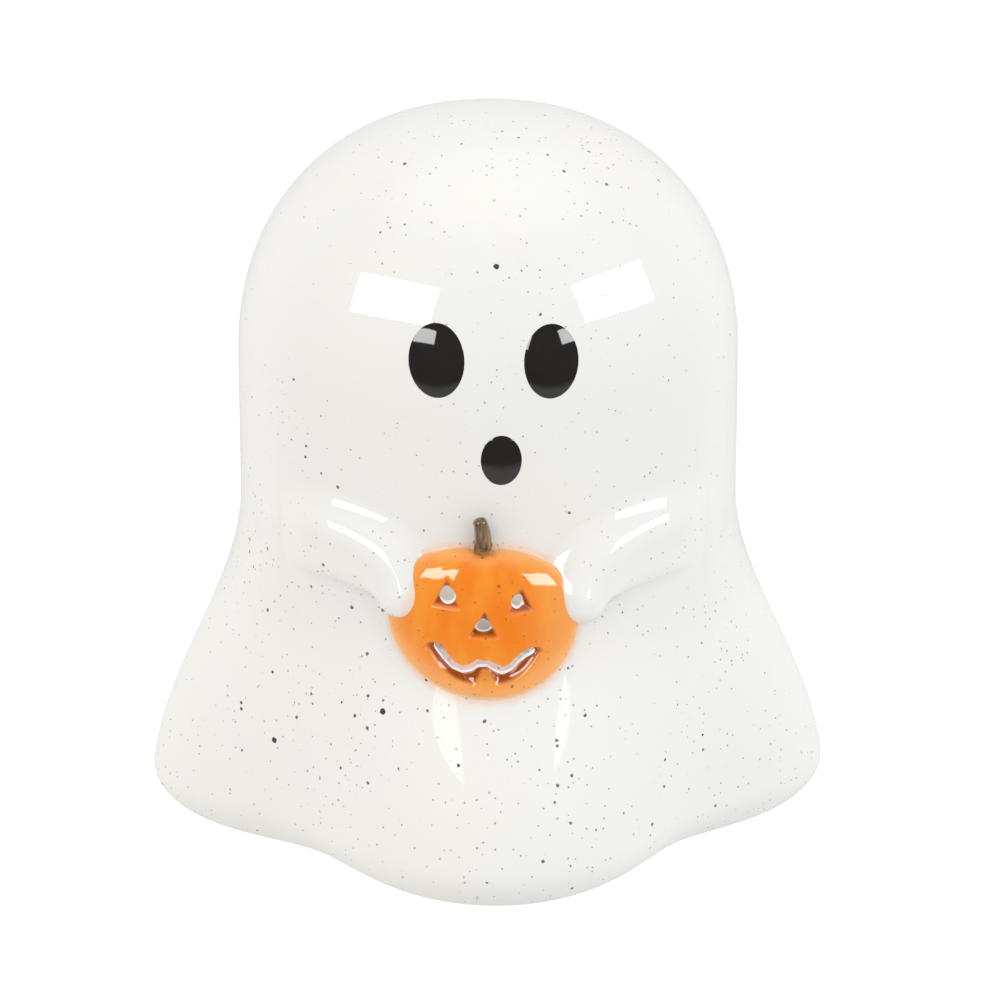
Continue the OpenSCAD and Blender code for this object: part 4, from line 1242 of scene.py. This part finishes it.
def area_light(name, away, size, radiance, in_gloss):
    """A rectangular lamp at a place from the target, facing it, for the gloss or for the rest."""
    data = bpy.data.lights.new(name, "AREA")
    data.shape = "RECTANGLE"
    data.size, data.size_y = size
    data.energy = radiance * math.pi * size[0] * size[1]
    lamp = bpy.data.objects.new(name, data)
    bpy.context.scene.collection.objects.link(lamp)
    lamp.location = TARGET + away
    lamp.rotation_euler = (-away).to_track_quat("-Z", "Y").to_euler()
    lamp.visible_camera = False
    lamp.visible_diffuse = not in_gloss
    lamp.visible_glossy = in_gloss


def camera_way(view, turn, up):
    """A direction given as turn and rise from the camera's own axis."""
    turn, up = math.radians(turn), math.radians(up)
    local = Vector((math.sin(turn) * math.cos(up), math.sin(up), math.cos(turn) * math.cos(up)))
    return view.rotation_euler.to_matrix() @ local


def studio():
    view = camera()
    for name, turn, up in SOFTBOXES:
        away = camera_way(view, turn, up) * SOFTBOX_AWAY
        area_light(name, away, SOFTBOX_SIZE, SOFTBOX_LIGHT, in_gloss=True)
    for name, turn, up, distance, size, radiance in PANELS:
        away = towards(math.radians(turn), math.radians(up)) * distance
        area_light(name, away, size, radiance, in_gloss=False)
    studio_floor()
    world_light()


def studio_floor():
    corners = ((-1, FLOOR_FRONT), (1, FLOOR_FRONT), (1, FLOOR_HALF), (-1, FLOOR_HALF))
    mesh = bpy.data.meshes.new("floor")
    mesh.from_pydata([(side * FLOOR_HALF, y, -FLOOR_GAP) for side, y in corners], [], [(0, 1, 2, 3)])
    floor = add_object("floor", mesh, [floor_paint()])
    floor.visible_glossy = False
    floor.visible_diffuse = False


def floor_paint():
    """Pale paper that is seen from above only."""
    paint = Paint("floor_paint", Roughness=0.9, Specular_IOR_Level=0.0, Emission_Strength=FLOOR_GLOW)
    paint.glow(WHITE_LIGHT)
    paint.colour(paint.mix(paint.noise(300.0), (0.75, 0.75, 0.75), (0.77, 0.77, 0.77)))
    one_sided = paint.node("ShaderNodeMixShader")
    paint.link(paint.node("ShaderNodeNewGeometry").outputs["Backfacing"], one_sided.inputs[0])
    paint.link(paint.shader.outputs[0], one_sided.inputs[1])
    paint.link(paint.node("ShaderNodeBsdfTransparent").outputs[0], one_sided.inputs[2])
    paint.link(one_sided.outputs[0], paint.tree.nodes["Material Output"].inputs["Surface"])
    return paint.material


def world_light():
    """Light all round, warm on the left and cool on the right, with a dark front in the gloss."""
    world = bpy.data.worlds.new("studio")
    bpy.context.scene.world = world
    world.use_nodes = True
    tree = world.node_tree
    tree.nodes.clear()
    output = tree.nodes.new("ShaderNodeOutputWorld")
    even = tree.nodes.new("ShaderNodeBackground")
    gloss = tree.nodes.new("ShaderNodeBackground")
    place = tree.nodes.new("ShaderNodeTexCoord")
    split = tree.nodes.new("ShaderNodeSeparateXYZ")
    tree.links.new(place.outputs["Generated"], split.inputs[0])

    def ramp(axis, numbers):
        node = tree.nodes.new("ShaderNodeMapRange")
        smooth_range(node, numbers)
        tree.links.new(split.outputs[axis], node.inputs["Value"])
        return node.outputs[0]

    def joined(operation, a, b):
        node = tree.nodes.new("ShaderNodeMath")
        node.operation = operation
        tree.links.new(a, node.inputs[0])
        tree.links.new(b, node.inputs[1])
        return node.outputs[0]

    bright = joined("MAXIMUM", ramp("Y", GLOSS_BEHIND), ramp("Z", GLOSS_ABOVE))
    bright = joined("MAXIMUM", bright, ramp("Z", GLOSS_TABLE))
    tree.links.new(bright, gloss.inputs["Strength"])
    tint = tree.nodes.new("ShaderNodeMix")
    tint.data_type = "RGBA"
    tint.inputs[MIX_A].default_value = WARM_LIGHT
    tint.inputs[MIX_B].default_value = COOL_LIGHT
    tree.links.new(ramp("X", LEFT_TO_RIGHT), tint.inputs[0])
    low = joined("MULTIPLY", ramp("Z", EVEN_BELOW), ramp("Z", EVEN_LEVEL))
    shade = joined("MULTIPLY", ramp("Y", EVEN_FRONT), low)
    tree.links.new(shade, even.inputs["Strength"])
    tree.links.new(tint.outputs[MIX_RESULT], even.inputs["Color"])
    path = tree.nodes.new("ShaderNodeLightPath")
    pick = tree.nodes.new("ShaderNodeMixShader")
    tree.links.new(path.outputs["Is Glossy Ray"], pick.inputs[0])
    tree.links.new(even.outputs[0], pick.inputs[1])
    tree.links.new(gloss.outputs[0], pick.inputs[2])
    backdrop = tree.nodes.new("ShaderNodeBackground")
    backdrop.inputs["Color"].default_value = WHITE_LIGHT
    seen = tree.nodes.new("ShaderNodeMixShader")
    tree.links.new(path.outputs["Is Camera Ray"], seen.inputs[0])
    tree.links.new(pick.outputs[0], seen.inputs[1])
    tree.links.new(backdrop.outputs[0], seen.inputs[2])
    tree.links.new(seen.outputs[0], output.inputs[0])


bpy.context.scene.view_settings.view_transform = "Standard"
studio()
ghost_body()
pumpkin()
stem()
face()
dress_frame()
